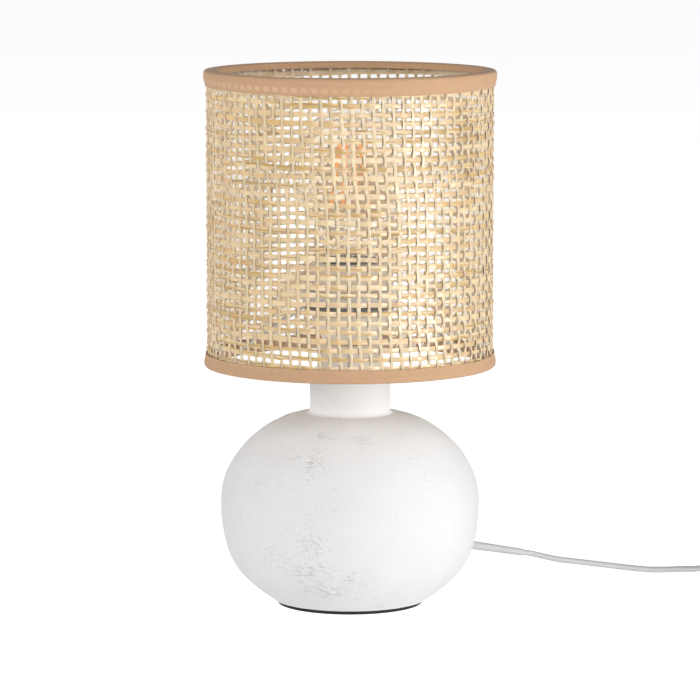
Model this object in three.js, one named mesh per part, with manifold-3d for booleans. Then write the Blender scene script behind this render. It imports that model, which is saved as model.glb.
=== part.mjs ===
// Table lamp with a round ceramic base and a drum shade of openwork raffia.
// Millimetres, +Z up, origin at the middle of the foot on the table.
import * as THREE from 'three';
import { mergeVertices } from 'three/addons/utils/BufferGeometryUtils.js';
import Module from 'manifold-3d';

const wasm = await Module();
wasm.setup();

// ---------------------------------------------------------------- driving sizes

// Clearances
const seat = 0.3; // left between two pieces that rest on or in each other
const runningGap = 0.5; // left round pieces that turn or slide

// Ceramic base: a flattened ball with a straight neck
const footRadius = 40.1;
const footRingWidth = 9;
const bellyRadius = 66.7;
const bellyHeight = 52.1; // above the underside of the ceramic
const shoulderHeight = 96.9; // where the ball meets the neck
const neckRadius = 20.7;
const neckLength = 22.6;
const neckFillet = 1.5;
const neckRim = 1; // bevel round the top of the neck
const wall = 6;
const footHandle = new THREE.Vector2(17.3, 11.7); // how the foot curve leaves the table
const lowerBellyHandle = 30.9; // upright pull of the curve below the belly
const upperBellyHandle = 24.2; // upright pull of the curve above the belly
const shoulderHandle = new THREE.Vector2(20.2, 0.9); // how the curve runs in to the neck
const padThickness = 1.7;
const padInset = 2.6; // pad edge inside the foot edge
const padBevel = 0.4;

// Cord outlet low in the side of the base
const outletAngle = THREE.MathUtils.degToRad(30); // round the base from +X towards +Y
const outletHeight = 25.5;
const outletSlope = THREE.MathUtils.degToRad(12); // downwards
const outletHoleRadius = 4;
const sleeveLength = 45; // outside the ball
const sleeveEndMargin = 0.3; // sleeve over the flex at its thin end
const sleeveRootMargin = 0.85; // sleeve over the flex at the ball
const sleeveTail = 11.6; // inside the ball
const sleeveCollarRadius = 6.5;
const sleeveCollarThickness = 2;

// Flat two-core flex
const flexWidth = 5;
const flexThickness = 3;
const flexSides = 8;

// Threaded tube and nuts that hold the lampholder to the neck
const tubeRadius = 5;
const tubeBoreRadius = 4;
const tubeBelowNut = 2;
const tubeIntoCap = 5;
const innerLeadSway = [[0.55, 9], [0.28, 22], [0.08, 42]]; // share of the way out, rise
const nutAcrossFlats = 14;
const nutHeight = 4;

// Lampholder
const coverHeight = 13.3;
const coverBottomRadius = 17.2;
const coverTopRadius = 16.2;
const coverWall = 2;
const capHeight = 15.2;
const capFootRadius = 13;
const capRimRadius = 19.6;
const capRimHeight = 2.6;
const capFloor = 2.6;
const capWall = 2.6;
const blockRadius = 13.5;
const blockHeight = 5.2;
const blockRise = 8.2; // underside of the block above the underside of the cap
const fittingEdge = 0.8; // rounding of the moulded rims
const shellHeight = 26.1;
const shellRadius = 20;
const shellWall = 2.2;
const flangeRadius = 22.8;
const flangeHeight = 2.7;
const mouthRadius = 14.25;
const screwSleeveWall = 1.9; // inner screw sleeve of the shell
const screwSleeveLift = 1; // its lower edge above the skirt's
const lipThickness = 2.5;
const clampRadius = 24.5;
const clampHeight = 7.3;
const clampWall = 2;
const clampRibs = 20;
const clampRibDepth = 0.7;
const springWidth = 4;
const springThickness = 0.5;
const springRise = 2.3; // centre contact above the block
const sideSpringHeight = 11;
const sideSpringWidth = 2.4;
const sideSpringThickness = 0.3;

// Bulb
const bulbLength = 104.5;
const globeRadius = 30;
const glassWall = 0.8;
const glassNeckRadius = 12.3;
const glassIntoCap = 8;
const screwRadius = 13.2;
const screwWall = 0.5;
const screwTop = 24.6; // above the tip
const screwRimFlare = 0.7;
const screwRimHeight = 1.2;
const screwFootHeight = 3.2; // cone between the insulator and the threads
const tipRadius = 4.6;
const tipHeight = 1.6;
const insulatorHeight = 3.2;
const insulatorRadius = 9;
const stemHeight = 33.5;
const stemFootHeight = 1;
const filamentCount = 4;
const filamentLength = 33;
const filamentRadius = 0.9;
const filamentCircle = 9;
const filamentLift = 2; // lower spokes above the stem
const supportRadius = 0.45;

// Shade
const shadeRadius = 75;
const shadeHeight = 152;
const carrierRise = 31; // middle of the carrier above the shade's lower edge
const carrierRadius = 24.75;
const carrierThickness = 1.5;
const armCount = 3;
const armRadius = 1.25;
const wireRadius = 1.4;
const tapeThickness = 0.4;
const topTapeHeight = 8.9;
const topFoldHeight = 4.2;
const bottomTapeHeight = 6.9;
const bottomFoldHeight = 9.5;
const filmThickness = 0.3;
const stakeCount = 89; // odd, so that one wound strand passes over and under them in turn
const stakeStart = THREE.MathUtils.degToRad(269.2); // the first stake, just left of the front
const stakeWidth = 1.9;
const stakeThickness = 0.5;
const weftFirst = 7.65; // lowest row that shows, above the shade's lower edge at the front
const weftPitch = 4.563;
const weftHeight = 2.5;
const weftThickness = 0.5;
const weftSides = 24;

// Cord switch
const switchLength = 58;
const switchWidth = 24;
const switchEndWidth = 11;
const switchHeight = 15;
const switchBevel = 2;
const switchSplit = 7.2; // height of the lower half
const rockerLength = 20;
const rockerWidth = 9;
const rockerThickness = 4.2;
const rockerTilt = THREE.MathUtils.degToRad(8);
const rockerPinRadius = 1.2;
const rockerPinReach = 1;
const rockerHorn = 0.7; // ends of the rocker above its middle line's top
const rockerDish = 2.5; // hollow of its top
const rockerSink = 0.4;

// Flat two-pin plug
const plugLength = 36;
const plugWidth = 35.3;
const plugThickness = 13.7;
const plugTailWidth = 9;
const plugHeadLength = 10; // broad stretch at the pins
const plugCorner = 4.5; // corners of the face that carries the pins
const plugBevel = 1.8;
const pinRadius = 2;
const pinLength = 19;
const pinNose = 1; // tapered end of each pin
const pinSpacing = 18.6;

// Where the loose pieces of the cord lie on the table
const switchPlace = new THREE.Vector2(241, 86);
const flexLift = 0.2; // the flex's lowest line above the table
const coilPlace = new THREE.Vector2(310, 50);
const coilTurnsAcross = 4.25;
const coilMiddleRadius = 27.5;
const coilPitch = 3.3;
const coilLayers = 2;
const coilLayerPitch = 5.2;
const plugTailX = 276;

// Smoothness of the round pieces
const ballSides = 32;
const shadeSides = 36;
const fittingSides = 20;
const smallSides = 12;
const wireSides = 6;

// ---------------------------------------------------------------- derived sizes

const ceramicBottom = padThickness + seat;
const shoulder = ceramicBottom + shoulderHeight;
const neckTop = shoulder + neckLength;

// Lampholder heights above the neck
const coverBottom = seat;
const capBottom = coverBottom + coverHeight + seat;
const blockBottom = capBottom + blockRise;
const blockTop = blockBottom + blockHeight;
const capTop = capBottom + capHeight;
const shellBottom = capTop + seat;
const flangeTop = shellBottom + flangeHeight;
const carrierBottom = flangeTop + seat;
const clampBottom = carrierBottom + carrierThickness + seat;
const springTop = blockTop + seat + springRise;
const bulbTip = neckTop + springTop + seat;

// Shade heights and radii
const shadeBottom = neckTop + carrierBottom + carrierThickness / 2 - carrierRise;
const weftOuter = (shadeRadius - tapeThickness) * Math.cos(Math.PI / shadeSides) - seat;
const weftInner = weftOuter - weftThickness;
const stakeOuter = weftInner * Math.cos(Math.PI / weftSides) - seat;
const filmOuter = stakeOuter - stakeThickness;
const filmInner = filmOuter * Math.cos(Math.PI / shadeSides) - filmThickness;
const ringRadius = filmInner - seat - wireRadius;
const ringInset = tapeThickness + seat + wireRadius; // ring middle inside the shade's edge
const foldRadius = ringRadius - wireRadius - seat - tapeThickness;
const sheetInset = tapeThickness + seat; // sheet edge inside the shade's edge

// Coil radii, and the line along which the flex runs on to the coil and off it
const coilHalfAcross = (coilTurnsAcross * coilPitch + flexThickness) / 2;
const coilOuter = coilMiddleRadius + coilHalfAcross;
const coilInner = coilMiddleRadius - coilHalfAcross;
const coilLane = coilOuter - flexThickness / 2;
const coilMeeting = coilPlace.x
  - Math.sqrt((coilOuter + seat) ** 2 - (coilLane - flexThickness / 2) ** 2);

// ---------------------------------------------------------------- tools

function outward(geometry) {
  // Triangles are turned round if the body came out inside out.
  const position = geometry.attributes.position;
  const index = geometry.index;
  const a = new THREE.Vector3();
  const b = new THREE.Vector3();
  const c = new THREE.Vector3();
  let volume = 0;
  for (let i = 0; i < index.count; i += 3) {
    a.fromBufferAttribute(position, index.getX(i));
    b.fromBufferAttribute(position, index.getX(i + 1));
    c.fromBufferAttribute(position, index.getX(i + 2));
    volume += a.dot(b.cross(c));
  }
  if (volume < 0) {
    for (let i = 0; i < index.count; i += 3) {
      const first = index.getX(i);
      index.setX(i, index.getX(i + 2));
      index.setX(i + 2, first);
    }
  }
  return geometry;
}

function weld(geometry) {
  // Shared corners become one vertex, and slivers with no area are left out.
  const bare = geometry.clone();
  bare.deleteAttribute('normal');
  bare.deleteAttribute('uv');
  const merged = mergeVertices(bare, 1e-4);
  const kept = [];
  for (let i = 0; i < merged.index.count; i += 3) {
    const corners = [0, 1, 2].map((k) => merged.index.getX(i + k));
    if (new Set(corners).size === 3) kept.push(...corners);
  }
  merged.setIndex(kept);
  return outward(merged);
}

function toSolid(geometry) {
  const welded = weld(geometry);
  const vertProperties = new Float32Array(welded.attributes.position.array);
  const triVerts = new Uint32Array(welded.index.array);
  return new wasm.Manifold(new wasm.Mesh({ numProp: 3, vertProperties, triVerts }));
}

function toGeometry(solid) {
  const { vertProperties, triVerts } = solid.getMesh();
  const geometry = new THREE.BufferGeometry();
  geometry.setAttribute('position', new THREE.BufferAttribute(vertProperties, 3));
  geometry.setIndex(new THREE.BufferAttribute(triVerts, 1));
  return geometry;
}

function cut(body, ...tools) {
  return toGeometry(tools.reduce((rest, tool) => rest.subtract(toSolid(tool)), toSolid(body)));
}

function join(body, ...others) {
  return toGeometry(others.reduce((whole, other) => whole.add(toSolid(other)), toSolid(body)));
}

function piece(name, geometry, { color, roughness, metalness }) {
  const material = new THREE.MeshStandardMaterial({ color, roughness, metalness });
  const mesh = new THREE.Mesh(geometry, material);
  mesh.name = name;
  return mesh;
}

function turned(profile, sides) {
  // A profile of [radius, height] points, turned about the Z axis. It closes on itself
  // unless it begins and ends on the axis.
  const points = profile.map(([radius, height]) => new THREE.Vector2(radius, height));
  const onAxis = points[0].x === 0 && points[points.length - 1].x === 0;
  if (!onAxis) points.push(points[0].clone());
  return weld(new THREE.LatheGeometry(points, sides).rotateX(Math.PI / 2));
}

function upright(shape, height, bevel = 0, bevelSegments = 2) {
  // A plan outline raised from z = 0 to the height, with rounded rims where a bevel is given.
  const geometry = new THREE.ExtrudeGeometry(shape, {
    depth: height - 2 * bevel,
    bevelEnabled: bevel > 0,
    bevelThickness: bevel,
    bevelSize: bevel,
    bevelOffset: -bevel,
    bevelSegments,
    curveSegments: 10,
  });
  return weld(geometry.translate(0, 0, bevel));
}

function rod(radius, length, sides = smallSides) {
  // A straight round rod from z = 0 upwards.
  return weld(new THREE.CylinderGeometry(radius, radius, length, sides)
    .rotateX(Math.PI / 2).translate(0, 0, length / 2));
}

function rodBetween(start, end, radius, sides) {
  const along = end.clone().sub(start);
  const turn = new THREE.Quaternion().setFromUnitVectors(
    new THREE.Vector3(0, 0, 1), along.clone().normalize());
  return rod(radius, along.length(), sides).applyQuaternion(turn)
    .translate(start.x, start.y, start.z);
}

function flexSection(margin = 0) {
  // Flat oval of the flex: thickness along x, width along y.
  const shape = new THREE.Shape();
  const halfThickness = flexThickness / 2 + margin;
  const halfWidth = flexWidth / 2 + margin;
  for (let k = 0; k < flexSides; k += 1) {
    const angle = (k + 0.5) * 2 * Math.PI / flexSides;
    const x = halfThickness * Math.cos(angle) / Math.cos(Math.PI / flexSides);
    const y = halfWidth * Math.sin(angle) / Math.cos(Math.PI / flexSides);
    if (k === 0) shape.moveTo(x, y);
    else shape.lineTo(x, y);
  }
  shape.closePath();
  return shape;
}

function flexTube(points, stepLength) {
  const curve = new THREE.CatmullRomCurve3(points, false, 'centripetal');
  const steps = Math.ceil(curve.getLength() / stepLength);
  return weld(new THREE.ExtrudeGeometry(flexSection(),
    { steps, extrudePath: curve, bevelEnabled: false }));
}

function roundHole(radius, sides) {
  // A round hole in a plan outline, whose flats stay outside the radius.
  const path = new THREE.Path();
  const corner = radius / Math.cos(Math.PI / sides);
  for (let k = 0; k < sides; k += 1) {
    const angle = -k * 2 * Math.PI / sides;
    const x = corner * Math.cos(angle);
    const y = corner * Math.sin(angle);
    if (k === 0) path.moveTo(x, y);
    else path.lineTo(x, y);
  }
  path.closePath();
  return path;
}

function vectors(list) {
  return list.map(([x, y, z]) => new THREE.Vector3(x, y, z));
}

// ---------------------------------------------------------------- finishes

const finish = {
  ceramic: { color: 0xe9e7e3, roughness: 0.8, metalness: 0 },
  pad: { color: 0x1c1c1c, roughness: 0.95, metalness: 0 },
  whitePlastic: { color: 0xdedcd8, roughness: 0.45, metalness: 0 },
  clampPlastic: { color: 0xc9c7c3, roughness: 0.4, metalness: 0 },
  flex: { color: 0xe2e1e0, roughness: 0.5, metalness: 0 },
  zinc: { color: 0x9a9a98, roughness: 0.4, metalness: 0.9 },
  brass: { color: 0xc8a050, roughness: 0.35, metalness: 0.9 },
  nickel: { color: 0xc4c2bd, roughness: 0.3, metalness: 0.9 },
  stoneware: { color: 0xd8d2c6, roughness: 0.7, metalness: 0 },
  blackGlass: { color: 0x17171a, roughness: 0.25, metalness: 0 },
  clearGlass: { color: 0xf2f5f5, roughness: 0.05, metalness: 0 },
  phosphor: { color: 0xe89a3c, roughness: 0.6, metalness: 0 },
  straw: { color: 0xe8d0a5, roughness: 0.7, metalness: 0 },
  tape: { color: 0xc99d77, roughness: 0.85, metalness: 0 },
};

// ---------------------------------------------------------------- base

function ballCurve(inset) {
  // Outline of the ball from the foot to the neck, as [radius, height] points. The inset
  // moves it inwards along its normal, which gives the inside of the wall.
  const lower = new THREE.CubicBezierCurve(
    new THREE.Vector2(footRadius, ceramicBottom),
    new THREE.Vector2(footRadius + footHandle.x, ceramicBottom + footHandle.y),
    new THREE.Vector2(bellyRadius, ceramicBottom + bellyHeight - lowerBellyHandle),
    new THREE.Vector2(bellyRadius, ceramicBottom + bellyHeight));
  const upper = new THREE.CubicBezierCurve(
    new THREE.Vector2(bellyRadius, ceramicBottom + bellyHeight),
    new THREE.Vector2(bellyRadius, ceramicBottom + bellyHeight + upperBellyHandle),
    new THREE.Vector2(neckRadius + shoulderHandle.x, shoulder - shoulderHandle.y),
    new THREE.Vector2(neckRadius, shoulder));
  const steps = inset > 0 ? 3 : 7;
  const points = [];
  for (const curve of [lower, upper]) {
    const first = curve === lower ? 0 : 1;
    for (let k = first; k <= steps; k += 1) {
      const point = curve.getPoint(k / steps);
      const tangent = curve.getTangent(k / steps);
      points.push([point.x - inset * tangent.y, point.y + inset * tangent.x]);
    }
  }
  return points;
}

function outletDirection() {
  return new THREE.Vector3(
    Math.cos(outletAngle) * Math.cos(outletSlope),
    Math.sin(outletAngle) * Math.cos(outletSlope),
    -Math.sin(outletSlope));
}

function ballRadiusAt(height) {
  // Radius of the ball's outside at a height, along straight lines between its points.
  const points = ballCurve(0);
  const above = points.findIndex(([, z]) => z >= height);
  const [lowRadius, lowHeight] = points[above - 1];
  const [highRadius, highHeight] = points[above];
  return THREE.MathUtils.mapLinear(height, lowHeight, highHeight, lowRadius, highRadius);
}

function outletPoint(distance) {
  // A point on the outlet's axis, a distance outside the ball.
  const radius = ballRadiusAt(outletHeight);
  const start = new THREE.Vector3(
    radius * Math.cos(outletAngle), radius * Math.sin(outletAngle), outletHeight);
  return start.addScaledVector(outletDirection(), distance);
}

function baseBody() {
  const outside = ballCurve(0).slice(0, -1);
  const inside = ballCurve(wall).slice(0, -1).reverse();
  const innerNeck = neckRadius - wall;
  const plateBottom = neckTop - wall;
  const opening = footRadius - footRingWidth;
  const holeRadius = tubeRadius + seat;
  const body = turned([
    [opening, ceramicBottom],
    ...outside,
    [neckRadius + neckFillet, shoulder],
    [neckRadius + neckFillet * 0.3, shoulder + neckFillet * 0.3],
    [neckRadius, shoulder + neckFillet],
    [neckRadius, neckTop - neckRim],
    [neckRadius - neckRim, neckTop],
    [holeRadius, neckTop],
    [holeRadius, plateBottom],
    [innerNeck, plateBottom],
    [innerNeck, shoulder - wall],
    ...inside,
    [opening, inside[inside.length - 1][1]],
  ], ballSides);
  const drill = rodBetween(
    outletPoint(-3 * wall), outletPoint(2 * wall), outletHoleRadius, smallSides);
  return piece('base_body', cut(body, drill), finish.ceramic);
}

function footPad() {
  const radius = footRadius - padInset;
  const profile = [[0, 0], [radius - padBevel, 0], [radius, padBevel], [radius, padThickness],
    [0, padThickness]];
  return piece('foot_pad', turned(profile, ballSides), finish.pad);
}

function cordSleeve() {
  // Tapered rubber sleeve: a collar inside the ball, then an oval tail that thins outwards.
  const tailSection = (margin) => flexSection(margin).getPoints();
  const stations = [
    [-sleeveTail, sleeveRootMargin],
    [0, sleeveRootMargin],
    [sleeveLength, sleeveEndMargin],
  ];
  const positions = [];
  const triangles = [];
  const count = flexSides;
  for (const [along, margin] of stations) {
    tailSection(margin).slice(0, count).forEach((point) => {
      positions.push(point.y, point.x, along);
    });
  }
  for (let ring = 0; ring + 1 < stations.length; ring += 1) {
    for (let k = 0; k < count; k += 1) {
      const a = ring * count + k;
      const b = ring * count + (k + 1) % count;
      triangles.push(a, b, b + count, a, b + count, a + count);
    }
  }
  const last = (stations.length - 1) * count;
  for (let k = 1; k + 1 < count; k += 1) {
    triangles.push(0, k + 1, k);
    triangles.push(last, last + k, last + k + 1);
  }
  const tail = new THREE.BufferGeometry();
  tail.setAttribute('position', new THREE.Float32BufferAttribute(positions, 3));
  tail.setIndex(triangles);
  const collar = rod(sleeveCollarRadius, sleeveCollarThickness)
    .translate(0, 0, -sleeveTail);
  const mesh = piece('cord_sleeve', join(outward(tail), collar), finish.flex);
  mesh.quaternion.setFromRotationMatrix(new THREE.Matrix4().makeBasis(
    new THREE.Vector3(-Math.sin(outletAngle), Math.cos(outletAngle), 0),
    outletDirection().cross(
      new THREE.Vector3(-Math.sin(outletAngle), Math.cos(outletAngle), 0)),
    outletDirection()));
  mesh.position.copy(outletPoint(0));
  return mesh;
}

function innerLead() {
  // The flex inside the base, from the sleeve up through the threaded tube.
  const end = neckTop + capBottom + tubeIntoCap;
  const start = outletPoint(-sleeveTail - seat);
  const points = [
    start,
    outletPoint(-2 * sleeveTail),
    ...vectors(innerLeadSway.map(([share, rise]) => (
      [start.x * share, start.y * share, start.z + rise]))),
    new THREE.Vector3(0, 0, shoulder - wall),
    new THREE.Vector3(0, 0, neckTop - 2 * wall),
    new THREE.Vector3(0, 0, neckTop),
    new THREE.Vector3(0, 0, end),
  ];
  return piece('inner_lead', flexTube(points, 3 * flexWidth / 2), finish.flex);
}

function base() {
  const group = new THREE.Group();
  group.add(baseBody(), footPad(), cordSleeve(), innerLead());
  return group;
}

// ---------------------------------------------------------------- lampholder

function threadedTube() {
  const bottom = -wall - seat - nutHeight - tubeBelowNut;
  const top = capBottom + tubeIntoCap - seat;
  const profile = [[tubeBoreRadius, bottom], [tubeRadius, bottom], [tubeRadius, top],
    [tubeBoreRadius, top]];
  return piece('threaded_tube', turned(profile, smallSides), finish.zinc);
}

function hexNut(name, height) {
  const shape = new THREE.Shape();
  const corner = nutAcrossFlats / Math.sqrt(3);
  for (let k = 0; k < 6; k += 1) {
    const angle = k * Math.PI / 3;
    const x = corner * Math.cos(angle);
    const y = corner * Math.sin(angle);
    if (k === 0) shape.moveTo(x, y);
    else shape.lineTo(x, y);
  }
  shape.closePath();
  shape.holes.push(roundHole(tubeRadius + seat, smallSides));
  const mesh = piece(name, upright(shape, nutHeight), finish.zinc);
  mesh.position.z = height;
  return mesh;
}

function neckCover() {
  const hole = (tubeRadius + seat) / Math.cos(Math.PI / smallSides);
  const profile = [
    [coverBottomRadius - coverWall, coverBottom],
    [coverBottomRadius, coverBottom],
    [coverTopRadius, coverBottom + coverHeight - fittingEdge],
    [coverTopRadius - fittingEdge, coverBottom + coverHeight],
    [hole, coverBottom + coverHeight],
    [hole, coverBottom + coverHeight - coverWall],
    [coverTopRadius - coverWall, coverBottom + coverHeight - coverWall],
  ];
  return piece('neck_cover', turned(profile, fittingSides), finish.whitePlastic);
}

function holderCap() {
  // Domed cap with the tube's entry at the bottom and a ledge for the contact block.
  const hole = (tubeRadius + seat) / Math.cos(Math.PI / smallSides);
  const pocket = blockRadius + seat;
  const ledge = blockBottom - seat;
  const rimInside = capRimRadius - capWall;
  const profile = [
    [hole, capBottom],
    [capFootRadius - fittingEdge, capBottom],
    [capFootRadius, capBottom + fittingEdge],
    [(capFootRadius + capRimRadius) / 2, capBottom + (capHeight - capRimHeight) / 2],
    [capRimRadius, capTop - capRimHeight],
    [capRimRadius, capTop],
    [rimInside, capTop],
    [rimInside, capTop - capRimHeight],
    [pocket, capTop - capRimHeight],
    [pocket, ledge],
    [pocket - capWall, ledge],
    [capFootRadius - capWall, capBottom + capFloor],
    [hole, capBottom + capFloor],
  ];
  return piece('holder_cap', turned(profile, fittingSides), finish.whitePlastic);
}

function holderShell() {
  // Outer skirt and inner screw sleeve, joined at the lip, with the flange that carries the shade.
  const top = shellBottom + shellHeight;
  const sleeveOutside = mouthRadius + screwSleeveWall;
  const sleeveBottom = shellBottom + screwSleeveLift;
  const skirtInside = shellRadius - shellWall;
  const profile = [
    [mouthRadius, sleeveBottom],
    [mouthRadius, top - fittingEdge],
    [mouthRadius + fittingEdge, top],
    [shellRadius - fittingEdge, top],
    [shellRadius, top - fittingEdge],
    [shellRadius, flangeTop],
    [flangeRadius, flangeTop],
    [flangeRadius, shellBottom],
    [skirtInside, shellBottom],
    [skirtInside, top - lipThickness],
    [sleeveOutside, top - lipThickness],
    [sleeveOutside, sleeveBottom],
  ];
  return piece('holder_shell', turned(profile, fittingSides), finish.whitePlastic);
}

function contactBlock() {
  const profile = [[0, blockBottom], [blockRadius, blockBottom], [blockRadius, blockTop],
    [0, blockTop]];
  return piece('contact_block', turned(profile, fittingSides), finish.stoneware);
}

function strip(outline, width) {
  // A sheet-metal strip: its side view in x and z, with the width along y.
  const shape = new THREE.Shape(outline.map(([x, z]) => new THREE.Vector2(x, z)));
  return weld(new THREE.ExtrudeGeometry(shape, { depth: width, bevelEnabled: false })
    .translate(0, 0, -width / 2).rotateX(Math.PI / 2));
}

function centreContact() {
  const foot = blockTop + seat;
  const reach = blockRadius - springWidth;
  const outline = [
    [reach, foot], [reach, foot + springThickness],
    [2, foot + springThickness],
    [springThickness, springTop],
    [-springWidth, springTop - springThickness],
    [-springWidth, springTop - 2 * springThickness],
    [0, springTop - springThickness],
    [2 - springThickness, foot],
  ];
  return piece('centre_contact', strip(outline, springWidth), finish.brass);
}

function sideContact() {
  // Stands up from the block beside the bulb's screw shell.
  const foot = blockTop + seat;
  const inside = screwRadius + seat;
  const outside = inside + sideSpringThickness;
  const outline = [
    [-inside + springWidth, foot], [-inside + springWidth, foot + springThickness],
    [-inside, foot + springThickness],
    [-inside, foot + sideSpringHeight],
    [-outside, foot + sideSpringHeight],
    [-outside, foot],
  ];
  return piece('side_contact', strip(outline, sideSpringWidth), finish.brass);
}

function clampRing() {
  // Threaded ring that clamps the shade's carrier, with grip ribs round it.
  const shape = new THREE.Shape();
  const pitch = 2 * Math.PI / clampRibs;
  const valley = clampRadius - clampRibDepth;
  for (let k = 0; k < clampRibs; k += 1) {
    const start = k * pitch;
    const corners = [[valley, 0], [valley, 0.4], [clampRadius, 0.55], [clampRadius, 0.85]];
    for (const [radius, share] of corners) {
      const angle = start + share * pitch;
      const x = radius * Math.cos(angle);
      const y = radius * Math.sin(angle);
      if (k === 0 && share === 0) shape.moveTo(x, y);
      else shape.lineTo(x, y);
    }
  }
  shape.closePath();
  shape.holes.push(roundHole(shellRadius + runningGap, fittingSides));
  const ring = upright(shape, clampHeight);
  const recess = turned([
    [shellRadius, clampHeight],
    [shellRadius, clampHeight - clampWall],
    [clampRadius - clampWall, clampHeight - clampWall],
    [clampRadius - clampWall, clampHeight + 1],
    [shellRadius, clampHeight + 1],
  ], fittingSides);
  const mesh = piece('clamp_ring', cut(ring, recess), finish.clampPlastic);
  mesh.position.z = clampBottom;
  return mesh;
}

function lampholder() {
  const group = new THREE.Group();
  group.position.z = neckTop;
  group.add(
    threadedTube(),
    hexNut('lower_nut', -wall - seat - nutHeight),
    hexNut('upper_nut', seat),
    neckCover(),
    holderCap(),
    holderShell(),
    contactBlock(),
    centreContact(),
    sideContact(),
    clampRing());
  return group;
}

// ---------------------------------------------------------------- bulb

function globeHeight() {
  return bulbLength - globeRadius;
}

function glassCurve(inset) {
  // Pear outline from the neck to the top, as [radius, height] points.
  const neck = new THREE.Vector2(glassNeckRadius - inset, screwTop + 1);
  const waist = new THREE.CubicBezierCurve(
    neck,
    new THREE.Vector2(glassNeckRadius - inset + 0.2, neck.y + globeHeight() * 0.23),
    new THREE.Vector2(globeRadius - inset, globeHeight() * 0.71),
    new THREE.Vector2(globeRadius - inset, globeHeight()));
  const points = waist.getPoints(6).map((point) => [point.x, point.y]);
  for (let k = 1; k <= 5; k += 1) {
    const angle = k * Math.PI / 10;
    const radius = (globeRadius - inset) * Math.cos(angle);
    const height = globeHeight() + (globeRadius - inset) * Math.sin(angle);
    points.push([k === 5 ? 0 : radius, height]);
  }
  return points;
}

function bulbGlass() {
  const bottom = screwTop - glassIntoCap;
  const outside = glassCurve(0);
  const inside = glassCurve(glassWall);
  const profile = [
    ...inside.reverse(),
    [glassNeckRadius - glassWall, bottom],
    [glassNeckRadius, bottom],
    ...outside,
  ];
  return piece('bulb_glass', turned(profile, fittingSides), finish.clearGlass);
}

function bulbScrewCap() {
  const bottom = tipHeight + seat + insulatorHeight / 3;
  const throat = insulatorRadius + seat;
  const profile = [
    [throat, bottom],
    [throat + screwWall, bottom - screwWall / 2],
    [screwRadius, bottom + screwFootHeight],
    [screwRadius, screwTop - screwRimHeight],
    [screwRadius + screwRimFlare, screwTop],
    [screwRadius + screwRimFlare - screwWall, screwTop],
    [screwRadius - screwWall, screwTop - screwRimHeight],
    [screwRadius - screwWall, bottom + screwFootHeight + screwWall / 2],
  ];
  return piece('bulb_screw_cap', turned(profile, fittingSides), finish.nickel);
}

function bulbInsulator() {
  const bottom = tipHeight + seat;
  const profile = [
    [0, bottom],
    [tipRadius + 1, bottom],
    [insulatorRadius, bottom + insulatorHeight / 3],
    [insulatorRadius, bottom + insulatorHeight],
    [0, bottom + insulatorHeight],
  ];
  return piece('bulb_insulator', turned(profile, smallSides), finish.blackGlass);
}

function bulbTipContact() {
  const profile = [
    [0, 0],
    [tipRadius * 0.7, 0],
    [tipRadius, tipHeight / 2],
    [tipRadius, tipHeight],
    [0, tipHeight],
  ];
  return piece('bulb_tip', turned(profile, smallSides), finish.nickel);
}

function stemTop() {
  return screwTop - glassIntoCap + stemHeight;
}

function bulbStem() {
  // Glass mount: flared foot on the neck, narrowing to the pinch that holds the support wire.
  const bottom = screwTop - glassIntoCap;
  const top = stemTop();
  const foot = glassNeckRadius - glassWall - seat;
  const profile = [
    [0, bottom],
    [foot, bottom],
    [foot, bottom + stemFootHeight],
    [foot * 0.55, bottom + stemHeight * 0.3],
    [foot * 0.32, bottom + stemHeight * 0.6],
    [foot * 0.28, top - stemFootHeight],
    [foot * 0.15, top],
    [0, top],
  ];
  return piece('bulb_stem', turned(profile, smallSides), finish.clearGlass);
}

function filamentBottom() {
  return stemTop() + filamentLift;
}

function filamentSupport() {
  // Middle post on the stem with one pair of spokes for each filament.
  const foot = stemTop() + seat;
  const low = filamentBottom();
  const high = low + filamentLength + 2 * (seat + supportRadius);
  const post = rodBetween(
    new THREE.Vector3(0, 0, foot), new THREE.Vector3(0, 0, high + 1), supportRadius, 8);
  const spokes = [];
  for (let k = 0; k < filamentCount; k += 1) {
    const angle = (k + 0.5) * 2 * Math.PI / filamentCount;
    const reach = filamentCircle + filamentRadius;
    for (const height of [low, high]) {
      spokes.push(rodBetween(
        new THREE.Vector3(0, 0, height),
        new THREE.Vector3(reach * Math.cos(angle), reach * Math.sin(angle), height),
        supportRadius, 6));
    }
  }
  return piece('filament_support', join(post, ...spokes), finish.nickel);
}

function filament(k) {
  const angle = (k + 0.5) * 2 * Math.PI / filamentCount;
  const mesh = piece(`filament_${k + 1}`, rod(filamentRadius, filamentLength, 8),
    finish.phosphor);
  mesh.position.set(
    filamentCircle * Math.cos(angle),
    filamentCircle * Math.sin(angle),
    filamentBottom() + supportRadius + seat);
  return mesh;
}

function bulb() {
  const group = new THREE.Group();
  group.position.z = bulbTip;
  group.add(
    bulbTipContact(), bulbInsulator(), bulbScrewCap(), bulbGlass(), bulbStem(),
    filamentSupport());
  for (let k = 0; k < filamentCount; k += 1) group.add(filament(k));
  return group;
}

// ---------------------------------------------------------------- shade

function wireRing(name, height) {
  const profile = [];
  for (let k = 0; k < wireSides; k += 1) {
    const angle = (k + 0.5) * 2 * Math.PI / wireSides;
    profile.push([ringRadius + wireRadius * Math.cos(angle),
      height + wireRadius * Math.sin(angle)]);
  }
  return piece(name, turned(profile, shadeSides), finish.zinc);
}

function carrierRing() {
  const hole = (shellRadius + runningGap) / Math.cos(Math.PI / fittingSides);
  const bottom = carrierRise - carrierThickness / 2;
  const top = bottom + carrierThickness;
  const profile = [[hole, bottom], [carrierRadius, bottom], [carrierRadius, top], [hole, top]];
  return piece('carrier_ring', turned(profile, fittingSides), finish.zinc);
}

function armAngle(k) {
  return (k / armCount) * 2 * Math.PI - Math.PI / 2;
}

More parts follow.
